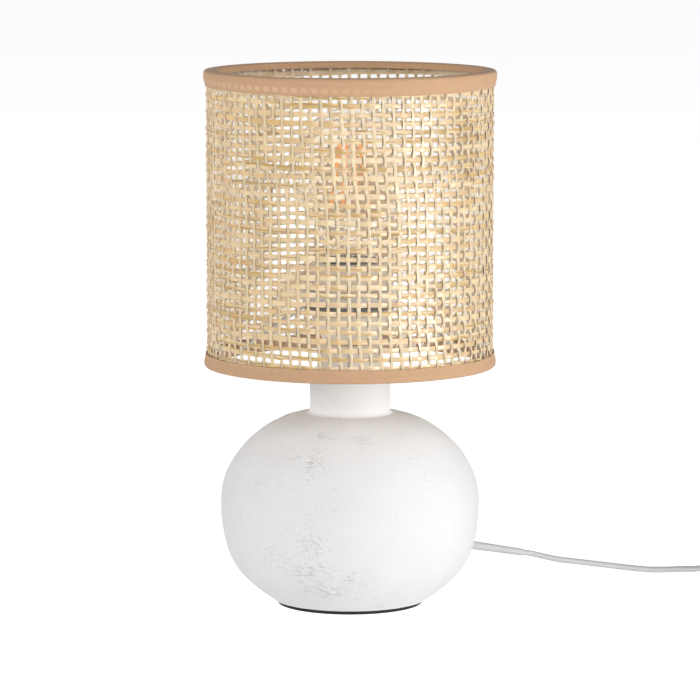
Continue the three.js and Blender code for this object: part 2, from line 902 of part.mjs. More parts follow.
function frameArm(k) {
  // Straight wire from the carrier down to the lower ring.
  const angle = armAngle(k);
  const low = new THREE.Vector2(ringRadius, ringInset);
  const high = new THREE.Vector2(carrierRadius + seat, carrierRise);
  const slope = low.clone().sub(high).normalize();
  high.x += armRadius * Math.abs(slope.y);
  low.addScaledVector(slope, -(wireRadius + seat));
  const place = (point) => new THREE.Vector3(
    point.x * Math.cos(angle), point.x * Math.sin(angle), point.y);
  return piece(`frame_arm_${k + 1}`, rodBetween(place(high), place(low), armRadius, 8),
    finish.zinc);
}

function stakedFilm() {
  // Clear film with the upright raffia stakes bonded to its outside, one rib for each stake.
  const shape = new THREE.Shape();
  const halfStake = stakeWidth / 2 / stakeOuter;
  const pitch = 2 * Math.PI / stakeCount;
  for (let k = 0; k < stakeCount; k += 1) {
    const corners = [[filmOuter, -halfStake], [stakeOuter, -halfStake],
      [stakeOuter, halfStake], [filmOuter, halfStake]];
    for (const [radius, offset] of corners) {
      const angle = stakeStart + k * pitch + offset;
      const x = radius * Math.cos(angle);
      const y = radius * Math.sin(angle);
      if (k === 0 && shape.curves.length === 0 && radius === filmOuter) shape.moveTo(x, y);
      else shape.lineTo(x, y);
    }
  }
  shape.closePath();
  shape.holes.push(roundHole(filmInner, shadeSides));
  const mesh = piece('staked_film', upright(shape, shadeHeight - 2 * sheetInset), finish.straw);
  mesh.position.z = sheetInset;
  return mesh;
}

function weftStrand() {
  // Raffia strand wound clockwise up round the stakes from the front, with both ends under
  // the tapes. Its section is a folded leaf: flat outside, the fold as a low ridge inside.
  const bottom = weftFirst - weftPitch;
  const top = shadeHeight - sheetInset - weftHeight / 2;
  const rows = Math.floor((top - bottom) / weftPitch);
  const strand = new THREE.CylinderGeometry(1, 1, rows, 3, rows * weftSides);
  const position = strand.attributes.position;
  for (let i = 0; i < position.count; i += 1) {
    const turn = position.getY(i) + rows / 2;
    const angle = -Math.PI / 2 - 2 * Math.PI * turn;
    const inwards = (position.getZ(i) + 0.5) / 1.5; // 0 on the flat outside, 1 on the ridge
    const across = position.getX(i) / Math.sqrt(3); // -0.5 to 0.5 across the strand
    const radius = weftOuter - weftThickness * inwards;
    position.setXYZ(i, radius * Math.cos(angle), radius * Math.sin(angle),
      bottom + weftPitch * turn + weftHeight * across);
  }
  return piece('weft_strand', weld(strand), finish.straw);
}

function tapeProfile(outsideHeight, foldHeight) {
  // Tape folded over the shade's edge: outside skirt, edge and inside fold, seen at the top
  // edge with height 0 there.
  const inner = foldRadius + tapeThickness;
  const outer = shadeRadius - tapeThickness;
  return [
    [shadeRadius, -outsideHeight],
    [shadeRadius, -tapeThickness],
    [shadeRadius - tapeThickness, 0],
    [foldRadius + tapeThickness, 0],
    [foldRadius, -tapeThickness],
    [foldRadius, -foldHeight],
    [inner, -foldHeight],
    [inner, -tapeThickness],
    [outer, -tapeThickness],
    [outer, -outsideHeight],
  ];
}

function topTape() {
  const mesh = piece('top_tape', turned(tapeProfile(topTapeHeight, topFoldHeight), shadeSides),
    finish.tape);
  mesh.position.z = shadeHeight;
  return mesh;
}

function bottomTape() {
  // The same fold upside down, with a notch for each arm of the frame.
  const profile = tapeProfile(bottomTapeHeight, bottomFoldHeight)
    .map(([radius, height]) => [radius, -height]);
  const notchWidth = 2 * (armRadius + runningGap);
  const notchHeight = bottomFoldHeight;
  const notches = [];
  for (let k = 0; k < armCount; k += 1) {
    notches.push(new THREE.BoxGeometry(2 * wireRadius, notchWidth, notchHeight)
      .translate(foldRadius, 0, sheetInset + notchHeight / 2)
      .rotateZ(armAngle(k)));
  }
  return piece('bottom_tape', cut(turned(profile, shadeSides), ...notches), finish.tape);
}

function shade() {
  const group = new THREE.Group();
  group.position.z = shadeBottom;
  group.add(
    carrierRing(),
    wireRing('lower_ring', ringInset),
    wireRing('upper_ring', shadeHeight - ringInset),
    stakedFilm(),
    weftStrand(),
    topTape(),
    bottomTape());
  for (let k = 0; k < armCount; k += 1) group.add(frameArm(k));
  return group;
}

// ---------------------------------------------------------------- cord

function leadPoints() {
  // From the sleeve down on to the table and along it to the switch.
  const lying = flexThickness / 2 + flexLift;
  const entry = switchPlace.x - switchLength / 2 - seat;
  return [
    outletPoint(sleeveLength + seat),
    outletPoint(sleeveLength + flexWidth),
    ...vectors([
      [103.5, 58.2, 12.9],
      [111.8, 61.6, 10.6],
      [120, 65.3, 9],
      [128, 68.4, 7.5],
      [139, 72.3, 5.5],
      [150, 75.6, 3.6],
      [161, 78.4, 2.1],
      [170, 80.4, lying],
      [179, 82, lying],
      [188, 83.6, lying],
      [196, 85, 3.4],
      [203, 85.9, 6.2],
    ]),
    new THREE.Vector3(entry - flexThickness, switchPlace.y, switchSplit),
    new THREE.Vector3(entry, switchPlace.y, switchSplit),
  ];
}

function switchToCoilPoints() {
  // From the switch to the coil's outer turn, which it meets along its tangent.
  const start = switchPlace.x + switchLength / 2 + seat;
  return vectors([
    [start, switchPlace.y, switchSplit],
    [start + 5, switchPlace.y, switchSplit],
    [start + 12, 85.2, 5],
    [coilMeeting - 6, coilPlace.y + coilLane, 3.4],
    [coilMeeting, coilPlace.y + coilLane, 3],
  ]);
}

function coilToPlugPoints() {
  // From the coil's last turn, in its upper layer, to the tail of the plug.
  const lane = coilPlace.y - coilLane;
  return vectors([
    [coilMeeting, lane, 7.7],
    [coilMeeting - 6, lane, 7.2],
    [plugTailX + 6, lane, plugThickness / 2],
    [plugTailX + seat, lane, plugThickness / 2],
  ]);
}

function cordCoil() {
  // Outer shape of the neat coil that holds the spare length.
  const height = (coilLayers - 1) * coilLayerPitch + flexWidth;
  const round = flexThickness / 2;
  const profile = [
    [coilInner, round], [coilInner + round, 0], [coilOuter - round, 0], [coilOuter, round],
    [coilOuter, height - round], [coilOuter - round, height], [coilInner + round, height],
    [coilInner, height - round],
  ];
  const mesh = piece('cord_coil', turned(profile, ballSides), finish.flex);
  mesh.position.set(coilPlace.x, coilPlace.y, 0);
  return mesh;
}

function switchOutline(margin) {
  // Boat-shaped plan with flat ends where the flex goes in.
  const halfLength = switchLength / 2 - margin;
  const halfWidth = switchWidth / 2 - margin;
  const halfEnd = switchEndWidth / 2 - margin;
  const pull = switchLength / 5;
  const shape = new THREE.Shape();
  shape.moveTo(-halfLength, -halfEnd);
  shape.bezierCurveTo(-pull * 1.6, -halfWidth, -pull, -halfWidth, 0, -halfWidth);
  shape.bezierCurveTo(pull, -halfWidth, pull * 1.6, -halfWidth, halfLength, -halfEnd);
  shape.lineTo(halfLength, halfEnd);
  shape.bezierCurveTo(pull * 1.6, halfWidth, pull, halfWidth, 0, halfWidth);
  shape.bezierCurveTo(-pull, halfWidth, -pull * 1.6, halfWidth, -halfLength, halfEnd);
  shape.closePath();
  return shape;
}

function switchLower() {
  const box = upright(switchOutline(0), 2 * switchSplit, switchBevel);
  const upperHalf = new THREE.BoxGeometry(2 * switchLength, 2 * switchWidth, 2 * switchSplit)
    .translate(0, 0, 2 * switchSplit);
  return piece('switch_lower', cut(box, upperHalf), finish.whitePlastic);
}

function rockerPivotHeight() {
  return switchHeight - rockerThickness / 2 - rockerSink;
}

function switchUpper() {
  // Upper half with the well and the two bearing holes of the rocker.
  const height = switchHeight;
  const box = upright(switchOutline(0), height, switchBevel);
  const lowerHalf = new THREE.BoxGeometry(2 * switchLength, 2 * switchWidth, 2 * switchSplit)
    .translate(0, 0, seat);
  const wellDepth = height - rockerPivotHeight() + rockerThickness / 2
    + rockerLength / 2 * Math.sin(rockerTilt) + runningGap;
  const well = new THREE.BoxGeometry(
    rockerLength + 2 * runningGap, rockerWidth + 2 * runningGap, 2 * wellDepth)
    .translate(0, 0, height);
  const reach = rockerWidth / 2 + runningGap + rockerPinReach + seat;
  const bearing = rodBetween(
    new THREE.Vector3(0, -reach, rockerPivotHeight()),
    new THREE.Vector3(0, reach, rockerPivotHeight()),
    rockerPinRadius + seat, smallSides);
  return piece('switch_upper', cut(box, lowerHalf, well, bearing), finish.whitePlastic);
}

function switchRocker() {
  // Rocker with a hollowed top and two pins, tipped to one side at rest.
  const halfLength = rockerLength / 2;
  const shape = new THREE.Shape();
  shape.moveTo(-halfLength, -rockerThickness / 2);
  shape.lineTo(halfLength, -rockerThickness / 2);
  shape.lineTo(halfLength, rockerThickness / 2 + rockerHorn);
  shape.quadraticCurveTo(0, rockerThickness / 2 - rockerDish,
    -halfLength, rockerThickness / 2 + rockerHorn);
  shape.closePath();
  const body = weld(new THREE.ExtrudeGeometry(shape, {
    depth: rockerWidth, bevelEnabled: false, curveSegments: 6,
  }).translate(0, 0, -rockerWidth / 2).rotateX(Math.PI / 2));
  const reach = rockerWidth / 2 + runningGap + rockerPinReach;
  const pins = rodBetween(
    new THREE.Vector3(0, -reach, 0), new THREE.Vector3(0, reach, 0), rockerPinRadius, smallSides);
  const mesh = piece('switch_rocker', join(body, pins), finish.clampPlastic);
  mesh.position.z = rockerPivotHeight();
  mesh.rotation.y = -rockerTilt;
  return mesh;
}

function cordSwitch() {
  const group = new THREE.Group();
  group.position.set(switchPlace.x, switchPlace.y, 0);
  group.add(switchLower(), switchUpper(), switchRocker());
  return group;
}

function plugBody() {
  // Flat moulded plug: broad at the pins, waisted where it is gripped, narrow at the flex.
  const halfWidth = plugWidth / 2;
  const halfTail = plugTailWidth / 2;
  const neck = plugLength - plugHeadLength; // where the waist meets the broad stretch
  const shape = new THREE.Shape();
  shape.moveTo(0, -halfTail);
  shape.lineTo(0, halfTail);
  shape.bezierCurveTo(-neck / 2, halfTail, -neck * 0.7, halfWidth, -neck, halfWidth);
  shape.lineTo(-plugLength + plugCorner, halfWidth);
  shape.lineTo(-plugLength, halfWidth - plugCorner);
  shape.lineTo(-plugLength, -halfWidth + plugCorner);
  shape.lineTo(-plugLength + plugCorner, -halfWidth);
  shape.lineTo(-neck, -halfWidth);
  shape.bezierCurveTo(-neck * 0.7, -halfWidth, -neck / 2, -halfTail, 0, -halfTail);
  return piece('plug_body', upright(shape, plugThickness, plugBevel), finish.whitePlastic);
}

function plugPin(k) {
  // Round pin with a tapered nose, turned about its own axis and laid along -X.
  const shank = pinLength - pinNose;
  const profile = [[0, 0], [pinRadius, 0], [pinRadius, shank], [pinRadius / 2, pinLength],
    [0, pinLength]];
  const mesh = piece(`plug_pin_${k + 1}`, turned(profile, smallSides), finish.nickel);
  mesh.rotation.y = -Math.PI / 2;
  mesh.position.set(-plugLength - seat, (k - 0.5) * pinSpacing, plugThickness / 2);
  return mesh;
}

function plug() {
  const group = new THREE.Group();
  group.position.set(plugTailX, coilPlace.y - coilLane, 0);
  group.add(plugBody(), plugPin(0), plugPin(1));
  return group;
}

function cord() {
  const group = new THREE.Group();
  const step = 3 * flexThickness / 2;
  group.add(
    piece('cord_lead', flexTube(leadPoints(), step), finish.flex),
    piece('cord_middle', flexTube(switchToCoilPoints(), step), finish.flex),
    cordCoil(),
    piece('cord_tail', flexTube(coilToPlugPoints(), step), finish.flex),
    cordSwitch(),
    plug());
  return group;
}

// ---------------------------------------------------------------- lamp

const lamp = new THREE.Group();
lamp.name = 'table_lamp';
lamp.add(base(), lampholder(), bulb(), shade(), cord());
lamp.updateMatrixWorld(true);

export default lamp;
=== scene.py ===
import math

import bmesh
import bpy
import numpy as np
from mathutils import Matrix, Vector, noise


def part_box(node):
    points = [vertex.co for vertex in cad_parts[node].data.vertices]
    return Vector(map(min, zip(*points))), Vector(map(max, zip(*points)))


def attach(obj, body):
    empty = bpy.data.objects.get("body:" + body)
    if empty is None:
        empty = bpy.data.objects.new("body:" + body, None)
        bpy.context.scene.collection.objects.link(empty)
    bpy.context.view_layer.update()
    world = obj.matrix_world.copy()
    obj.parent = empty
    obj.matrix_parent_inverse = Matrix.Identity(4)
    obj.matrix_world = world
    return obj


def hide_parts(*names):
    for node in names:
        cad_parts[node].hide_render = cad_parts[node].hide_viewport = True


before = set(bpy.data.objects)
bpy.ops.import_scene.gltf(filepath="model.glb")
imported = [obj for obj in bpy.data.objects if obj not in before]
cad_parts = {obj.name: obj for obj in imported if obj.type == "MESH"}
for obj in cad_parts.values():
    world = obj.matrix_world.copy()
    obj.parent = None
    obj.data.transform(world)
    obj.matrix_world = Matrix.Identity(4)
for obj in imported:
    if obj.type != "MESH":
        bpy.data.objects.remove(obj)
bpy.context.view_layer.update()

# Looks of a table lamp: matt ceramic ball base, openwork raffia drum shade, flat white flex.
# Lengths are in metres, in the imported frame; MM turns millimetres into metres.
MM = 0.001


def low(node):
    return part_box(node)[0]


def high(node):
    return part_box(node)[1]


def show(name, data):
    """Adds data to the scene as an object."""
    made = bpy.data.objects.new(name, data)
    bpy.context.scene.collection.objects.link(made)
    return made


# ---- sizes

NECK_TOP = high("base_body").z
CERAMIC_BOTTOM = low("base_body").z
SHADE_BOTTOM = low("bottom_tape").z
SHADE_TOP = high("top_tape").z
FLEX_WIDTH = 5 * MM
FLEX_THICKNESS = 3 * MM

# ---- camera


def add_camera():
    """A long lens a little above the lamp, aimed at its middle line."""
    distance = 2.1194
    elevation = math.radians(7.43)
    aim_height = 131.3 * MM
    data = bpy.data.cameras.new("camera")
    data.sensor_width = 36
    data.lens = 211.74
    camera = show("camera", data)
    height = aim_height + distance * math.sin(elevation)
    camera.location = (0, -distance * math.cos(elevation), height)
    camera.rotation_euler = (math.pi / 2 - elevation, 0, 0)
    bpy.context.scene.camera = camera


add_camera()

# ---- materials


class Nodes:
    """Short calls for the nodes of a material or world that feed its main shader."""

    def __init__(self, owner, shader):
        owner.use_nodes = True
        self.tree = owner.node_tree
        self.shader = self.tree.nodes[shader]

    def feed(self, target, value):
        if isinstance(value, bpy.types.NodeSocket):
            self.tree.links.new(value, target)
        elif isinstance(value, tuple) and len(value) == 3 and target.type == "RGBA":
            target.default_value = (*value, 1)
        else:
            target.default_value = value

    def put(self, socket, value):
        self.feed(self.shader.inputs[socket], value)

    def node(self, kind, inputs=None, **settings):
        made = self.tree.nodes.new("ShaderNode" + kind)
        for key, value in settings.items():
            setattr(made, key, value)
        for key, value in (inputs or {}).items():
            self.feed(made.inputs[key], value)
        return made

    def mapped(self, vector, **inputs):
        return self.node("Mapping", {"Vector": vector, **inputs}).outputs[0]

    def place(self, stretch=(1, 1, 1)):
        """Object coordinates in metres, stretched."""
        return self.mapped(self.node("TexCoord").outputs["Object"], Scale=stretch)

    def attribute(self, name, kind="Fac"):
        return self.node("Attribute", attribute_name=name).outputs[kind]

    def noise(self, vector, scale, detail=2, rough=0.5):
        inputs = {"Vector": vector, "Scale": scale, "Detail": detail, "Roughness": rough}
        return self.node("TexNoise", inputs).outputs[0]

    def cells(self, vector, scale):
        return self.node("TexVoronoi", {"Vector": vector, "Scale": scale}).outputs[0]

    def ramp(self, factor, start, end, first=0.0, last=1.0):
        """Rises from first to last while the factor goes from start to end."""
        names = ("From Min", "From Max", "To Min", "To Max")
        inputs = {"Value": factor, **dict(zip(names, (start, end, first, last)))}
        return self.node("MapRange", inputs).outputs[0]

    def maths(self, operation, a, b):
        made = self.node("Math", operation=operation)
        self.feed(made.inputs[0], a)
        self.feed(made.inputs[1], b)
        return made.outputs[0]

    def white_for_eye(self):
        """1 for rays that the camera sees, straight, mirrored or through glass; 0 for the rest."""
        rays = self.node("LightPath").outputs
        seen = self.maths("MAXIMUM", rays["Is Camera Ray"], rays["Is Glossy Ray"])
        return self.maths("MAXIMUM", seen, rays["Is Transmission Ray"])

    def mix(self, factor, a, b):
        made = self.node("Mix", data_type="RGBA")
        self.feed(made.inputs[0], factor)
        self.feed(made.inputs[6], a)
        self.feed(made.inputs[7], b)
        return made.outputs[2]


class Finish(Nodes):
    """A material with a Principled shader, for pieces in one slot of the part."""

    def __init__(self, name, slot, color, roughness, **sockets):
        self.material = bpy.data.materials.new(name)
        self.slot = slot
        super().__init__(self.material, "Principled BSDF")
        self.put("Base Color", (*color, 1))
        self.put("Roughness", roughness)
        for socket, value in sockets.items():
            self.put(socket.replace("_", " "), value)

    def let_through(self, share, color):
        """Lets some light through to the other side, as leaf and thin cloth do."""
        thin = self.node("BsdfTranslucent", {"Color": color})
        both = self.node("MixShader", {"Fac": share})
        self.tree.links.new(self.shader.outputs[0], both.inputs[1])
        self.tree.links.new(thin.outputs[0], both.inputs[2])
        self.tree.links.new(both.outputs[0], self.tree.nodes["Material Output"].inputs[0])

    def bump(self, height, distance, strength=1.0):
        inputs = {"Height": height, "Distance": distance, "Strength": strength}
        self.put("Normal", self.node("Bump", inputs).outputs[0])


def ceramic():
    """Unglazed white slip: chalky grain, pinholes, small chips and fine scratches. Painted shade
    in the pinholes and on one side of each mark, a painted highlight on the other side, and a
    painted whiter shoulder.
    """
    made = Finish("ceramic", "ceramic", (0.8, 0.8, 0.79), 0.85)
    place = made.place()
    patch = made.noise(place, 35, 4)
    grain = made.noise(place, 900, 4, 0.6)
    pores = made.cells(place, 420)
    rough_area = made.ramp(made.noise(place, 60, 3), 0.52, 0.66)
    pin = made.maths("MULTIPLY", made.ramp(pores, 0.3, 0.12), rough_area)
    skin = made.attribute("skin", "Vector")
    marks, edges = [], []
    for name, turn, stretch in (("chipped", -0.9, (400, 600, 1)),
                                ("scratched", 0.04, (260, 760, 1))):
        worn = made.maths("MULTIPLY", made.attribute(name), 0.2)
        # Each mark is looked up twice, the second copy moved a little. The step between the two is
        # a painted highlight on one side of the mark and painted shade on the other.
        for found, shift in ((marks, 0), (edges, 0.55 * MM)):
            moved = made.mapped(skin, Location=(shift, shift * 0.6, 0))
            turned = made.mapped(moved, Rotation=(0, 0, turn), Scale=stretch)
            flakes = made.noise(turned, 1, 4, 0.7)
            found.append(made.ramp(made.maths("ADD", flakes, worn), 0.7, 0.76))
    mark = made.maths("MAXIMUM", *marks)
    step = made.maths("SUBTRACT", made.maths("MAXIMUM", *edges), mark)
    # Painted light: the upper ball and shoulder are painted whiter, and the neck a little, in
    # place of light reaching them under the shade.
    painted_light = made.ramp(made.attribute("bloom"), 0, 1, 0, 0.6)
    white = made.mix(made.ramp(patch, 0.35, 0.7), (0.74, 0.742, 0.745), (0.765, 0.765, 0.765))
    white = made.mix(painted_light, white, (0.94, 0.94, 0.95))
    # Painted shade: darker in the pinholes and on the shaded side of each mark.
    dark = made.maths("ADD", made.maths("MULTIPLY", pin, 0.3), made.ramp(step, 0, -1, 0, 0.04))
    chalk = made.mix(dark, white, (0.45, 0.43, 0.41))
    # Painted highlight: whiter on the lit side of each mark.
    made.put("Base Color", made.mix(made.ramp(step, 0, 1), chalk, (0.95, 0.95, 0.95)))
    made.put("Roughness", made.ramp(grain, 0.3, 0.7, 0.75, 0.95))
    hollow = made.maths("ADD", made.maths("MULTIPLY", pin, 0.6), mark)
    height = made.maths("SUBTRACT", made.maths("MULTIPLY", grain, 0.35), hollow)
    made.bump(height, 0.18 * MM)
    return made


def raffia():
    """Dried leaf: fine fibres along the strand, tan and golden stretches, dark edges: the leaf's
    own brown edge, and along the stakes a painted shadow.
    """
    made = Finish("raffia", "raffia", (0.84, 0.68, 0.45), 0.5,
                  Coat_Weight=1.0, Coat_Roughness=0.2, Coat_IOR=1.85)
    strand = made.attribute("strand", "Vector")
    fibre = made.noise(made.mapped(strand, Scale=(60, 3800, 1)), 1, 3, 0.6)
    blotch = made.noise(made.mapped(strand, Scale=(70, 250, 1)), 1)
    tone = made.maths("ADD", made.attribute("tone"), made.ramp(blotch, 0.3, 0.7, -0.3, 0.3))
    leaf = made.mix(tone, (0.92, 0.79, 0.525), (0.82, 0.61, 0.34))
    leaf = made.mix(made.attribute("pale"), leaf, (0.91, 0.83, 0.6))
    leaf = made.mix(made.ramp(fibre, 0.45, 0.75, 0, 0.3), leaf, (0.66, 0.47, 0.25))
    gold = made.mix(made.ramp(fibre, 0.35, 0.7), (0.9, 0.65, 0.19), (0.6, 0.37, 0.08))
    color = made.mix(made.attribute("gold"), leaf, gold)
    # Dark edges: the leaf's own brown edge, and on the stakes a painted shadow cast onto the weft
    # beside them.
    color = made.mix(made.attribute("edge"), color, (0.17, 0.09, 0.035))
    made.put("Base Color", color)
    made.put("Roughness", made.ramp(fibre, 0.3, 0.7, 0.38, 0.55))
    made.bump(fibre, 0.05 * MM, 0.5)
    made.let_through(0.4, color)
    return made


def cotton_tape():
    """Plain-woven binding tape that lets a little light through; over the openwork's openings
    behind it, paler squares are painted, as light from behind.
    """
    made = Finish("cotton_tape", "tape", (0.6, 0.37, 0.21), 0.85, Sheen_Weight=0.1)
    cloth = made.attribute("cloth", "Vector")
    wave = {"Vector": cloth, "Scale": 480, "Distortion": 1.5}
    warp, weft = (made.node("TexWave", wave, bands_direction=way).outputs["Fac"] for way in "XY")
    threads = made.maths("ADD", warp, weft)
    patch = made.noise(cloth, 260, 3)
    cotton = made.mix(patch, (0.585, 0.362, 0.207), (0.665, 0.43, 0.262))
    cotton = made.mix(made.ramp(threads, 0.2, 1.6, 0.22, 0), cotton, (0.46, 0.24, 0.12))
    # Painted light: paler squares where light from behind would show through the openings.
    cotton = made.mix(made.attribute("glow"), cotton, (0.84, 0.56, 0.37))
    made.put("Base Color", cotton)
    made.bump(threads, 0.05 * MM, 0.5)
    made.let_through(0.12, cotton)
    return made


def moulded(name, slot, color, roughness=0.4):
    """Moulded plastic with a faint satin grain."""
    made = Finish(name, slot, color, roughness)
    grain = made.noise(made.place(), 2600, 2)
    haze = made.noise(made.place(), 90, 3)
    dark = tuple(channel * 0.94 for channel in color)
    made.put("Base Color", made.mix(haze, color, dark))
    made.put("Roughness", made.ramp(haze, 0.3, 0.7, roughness - 0.07, roughness + 0.1))
    made.bump(grain, 0.02 * MM, 0.35)
    return made


def foam():
    """Black foam with fine open cells."""
    made = Finish("foam", "pad", (0.012, 0.012, 0.013), 0.95)
    cells = made.cells(made.place(), 1500)
    made.put("Base Color", made.mix(cells, (0.006, 0.006, 0.006), (0.03, 0.03, 0.032)))
    made.bump(cells, 0.1 * MM, 0.6)
    return made


def plated(name, slot, color, roughness, speckle):
    """Plated metal: cloudy, with a speckle for zinc and almost none for nickel."""
    made = Finish(name, slot, color, roughness, Metallic=1.0)
    cloud = made.noise(made.place(), 240, 4)
    grain = made.noise(made.place(), 1800, 2)
    dull = tuple(channel * (1 - speckle) for channel in color)
    made.put("Base Color", made.mix(made.ramp(cloud, 0.35, 0.65), color, dull))
    made.put("Roughness", made.ramp(cloud, 0.3, 0.7, roughness, roughness + speckle))
    made.bump(grain, 0.015 * MM, 0.4)
    return made


def thin_film():
    """A thin clear sheet: it reflects more the flatter it is seen, and the rest passes on."""
    roughness, reflection = 0.18, 1.5
    made = Finish("film", "film", (1, 1, 1), roughness, Metallic=1.0)
    edge_on = made.node("Fresnel", {"IOR": 1.5}).outputs[0]
    made.put("Alpha", made.maths("MINIMUM", made.maths("MULTIPLY", edge_on, reflection), 0.3))
    haze = made.noise(made.place(), 45, 3)
    made.put("Roughness", made.ramp(haze, 0.3, 0.7, roughness * 0.8, roughness * 1.3))
    return made


def phosphor():
    # Painted light: the filaments glow faintly of their own, though the lamp is off.
    made = Finish("phosphor", "phosphor", (0.85, 0.33, 0.05), 0.6, Emission_Strength=0.35)
    beads = made.noise(made.place((400, 400, 700)), 1, 2)
    amber = made.mix(beads, (0.95, 0.42, 0.08), (0.9, 0.3, 0.04))
    made.put("Base Color", amber)
    made.put("Emission Color", amber)
    made.bump(beads, 0.05 * MM, 0.4)
    return made


CERAMIC = ceramic()
RAFFIA = raffia()
TAPE = cotton_tape()
WHITE = moulded("white_plastic", "white_plastic", (0.76, 0.755, 0.74))
# Painted shade: a darker copy of the white plastic, for the clamp ring inside the shade.
CLAMP_SHADED_WHITE = moulded("clamp_plastic", "white_plastic", (0.7, 0.695, 0.68), 0.35)
# Painted light: the holder's white plastic is tinted warm, in place of warm light thrown back by
# the raffia inside the shade.
HOLDER_PAINTED_WARM = moulded("holder_plastic", "white_plastic", (0.84, 0.755, 0.64))
FLEX = moulded("flex", "flex", (0.56, 0.56, 0.58), 0.55)
STONEWARE = moulded("stoneware", "stoneware", (0.62, 0.57, 0.47), 0.75)
BLACK_GLASS = moulded("black_glass", "black_glass", (0.015, 0.015, 0.018), 0.2)
FOAM = foam()
ZINC = plated("zinc", "zinc_steel", (0.52, 0.51, 0.49), 0.3, 0.22)
# Painted shade: a dark copy of the zinc for the carrier ring, as the line of shade along it under
# the clamp.
SHADED_ZINC = plated("shaded_zinc", "zinc_steel", (0.1, 0.09, 0.08), 0.45, 0.15)
NICKEL = plated("nickel", "nickel", (0.72, 0.69, 0.64), 0.18, 0.1)
BRASS = plated("brass", "brass", (0.75, 0.52, 0.22), 0.28, 0.12)
GLASS = Finish("glass", "clear_glass", (1, 0.97, 0.91), 0.0, IOR=1.5, Transmission_Weight=1.0)
FILM = thin_film()
PHOSPHOR = phosphor()

# ---- mesh tools


def add_mesh(mesh, finish, body, replaced, sharp):
    """Shows a mesh as a piece that rides on a body and stands for the CAD nodes in replaced."""
    mesh.materials.append(finish.material)
    mesh.shade_smooth()
    mesh.set_sharp_from_angle(angle=math.radians(sharp))
    piece = show(mesh.name, mesh)
    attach(piece, body)
    if replaced:
        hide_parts(*replaced)
    return piece


def add_piece(name, shape, finish, body, replaced=(), sharp=35):
    """A piece made from a shape, which is its (vertices, faces)."""
    vertices, faces = shape
    mesh = bpy.data.meshes.new(name)
    mesh.from_pydata(np.asarray(vertices).tolist(), [], [list(face) for face in faces])
    return add_mesh(mesh, finish, body, replaced, sharp)


def paint(piece, **layers):
    """Stores a number, or a vector, for each vertex of a piece, by layer name."""
    for name, values in layers.items():
        values = np.asarray(values, np.float32)
        kind, key = ("FLOAT", "value") if values.ndim == 1 else ("FLOAT_VECTOR", "vector")
        layer = piece.data.attributes.new(name, kind, "POINT")
        layer.data.foreach_set(key, values.ravel())


def full_turn(count):
    """Evenly spaced angles all the way round."""
    return np.linspace(0, math.tau, count, endpoint=False)


def around(radius, angle, height):
    """Points at these radii, angles and heights about Z."""
    return np.stack(np.broadcast_arrays(
        radius * np.cos(angle), radius * np.sin(angle), height), axis=-1)


def toward(angle):
    """The level direction at an angle about Z."""
    return Vector((math.cos(angle), math.sin(angle), 0))


def angle_apart(angle, other):
    """The signed way round from the other angle, at most half a turn."""
    return (angle - other + math.pi) % math.tau - math.pi


def unit(rows):
    """Each row of an array at unit length."""
    return rows / np.linalg.norm(rows, axis=1)[:, None]


def run_along(line):
    """How far along a line of points each of them lies."""
    return np.concatenate([[0], np.cumsum(np.linalg.norm(np.diff(line, axis=0), axis=1))])


def outward(line):
    """The unit normals on the right-hand side of a line of (radius, height) points."""
    slope = unit(np.gradient(line, axis=0))
    return np.column_stack([slope[:, 1], -slope[:, 0]])


def ring_faces(rings, sides, start=0, closed=False):
    """Quads between rings of vertices that follow each other in the vertex list."""
    i = np.arange(rings if closed else rings - 1)[:, None]
    j = np.arange(sides)[None, :]
    here = start + i * sides
    there = start + (i + 1) % rings * sides
    along = (j + 1) % sides
    quads = np.stack([here + j, here + along, there + along, there + j], axis=-1)
    return quads.reshape(-1, 4).tolist()


def capped_tube(rings, sides):
    """Faces of a tube with flat ends."""
    last = (rings - 1) * sides
    ends = [list(range(sides))[::-1], list(range(last, last + sides))]
    return ring_faces(rings, sides) + ends


def lathe(profile, sides=96):
    """A profile of (radius, height) points, closed on itself, turned about Z."""
    vertices = [around(radius, full_turn(sides), height) for radius, height in profile]
    return np.concatenate(vertices), ring_faces(len(profile), sides, closed=True)


def solid_of_revolution(profile, sides):
    """A profile that starts and ends near the axis, turned about Z and closed by flat caps."""
    vertices, _ = lathe(profile, sides)
    return vertices, capped_tube(len(profile), sides)


def softened(profile, radius, closed=True, steps=3):
    """The profile with each corner rounded off by a short curve."""
    points = [Vector(point) for point in profile]
    count = len(points)
    made = []
    for i, corner in enumerate(points):
        if not closed and i in (0, count - 1):
            made.append(tuple(corner))
            continue
        before = points[i - 1] - corner
        after = points[(i + 1) % count] - corner
        reach = min(radius, 0.45 * before.length, 0.45 * after.length)
        first = corner + before.normalized() * reach
        last = corner + after.normalized() * reach
        for step in range(steps + 1):
            t = step / steps
            made.append(tuple(first * (1 - t) ** 2 + corner * 2 * t * (1 - t) + last * t ** 2))
    return made


def shifted(profile, height):
    """A profile in millimetres, moved up to a height in metres."""
    return [(radius * MM, height + z * MM) for radius, z in profile]


def frames_along(path, up=(0, 0, 1)):
    """For each point of a path: the direction across it and up, and the one square to both."""
    tangent = unit(np.gradient(path, axis=0))
    side = unit(np.cross(tangent, up))
    return side, np.cross(side, tangent)


def wire(path, radius, sides):
    """Vertices and faces of a round wire along a path of points."""
    path = np.asarray(path, float)
    steep = abs(path[-1] - path[0])[2] > 0.9 * np.linalg.norm(path[-1] - path[0])
    side, third = frames_along(path, (1, 0, 0) if steep else (0, 0, 1))
    angle = full_turn(sides)[:, None]
    radius = np.broadcast_to(radius, len(path))[:, None, None]
    offset = side[:, None] * np.cos(angle) + third[:, None] * np.sin(angle)
    return (path[:, None] + radius * offset).reshape(-1, 3), capped_tube(len(path), sides)


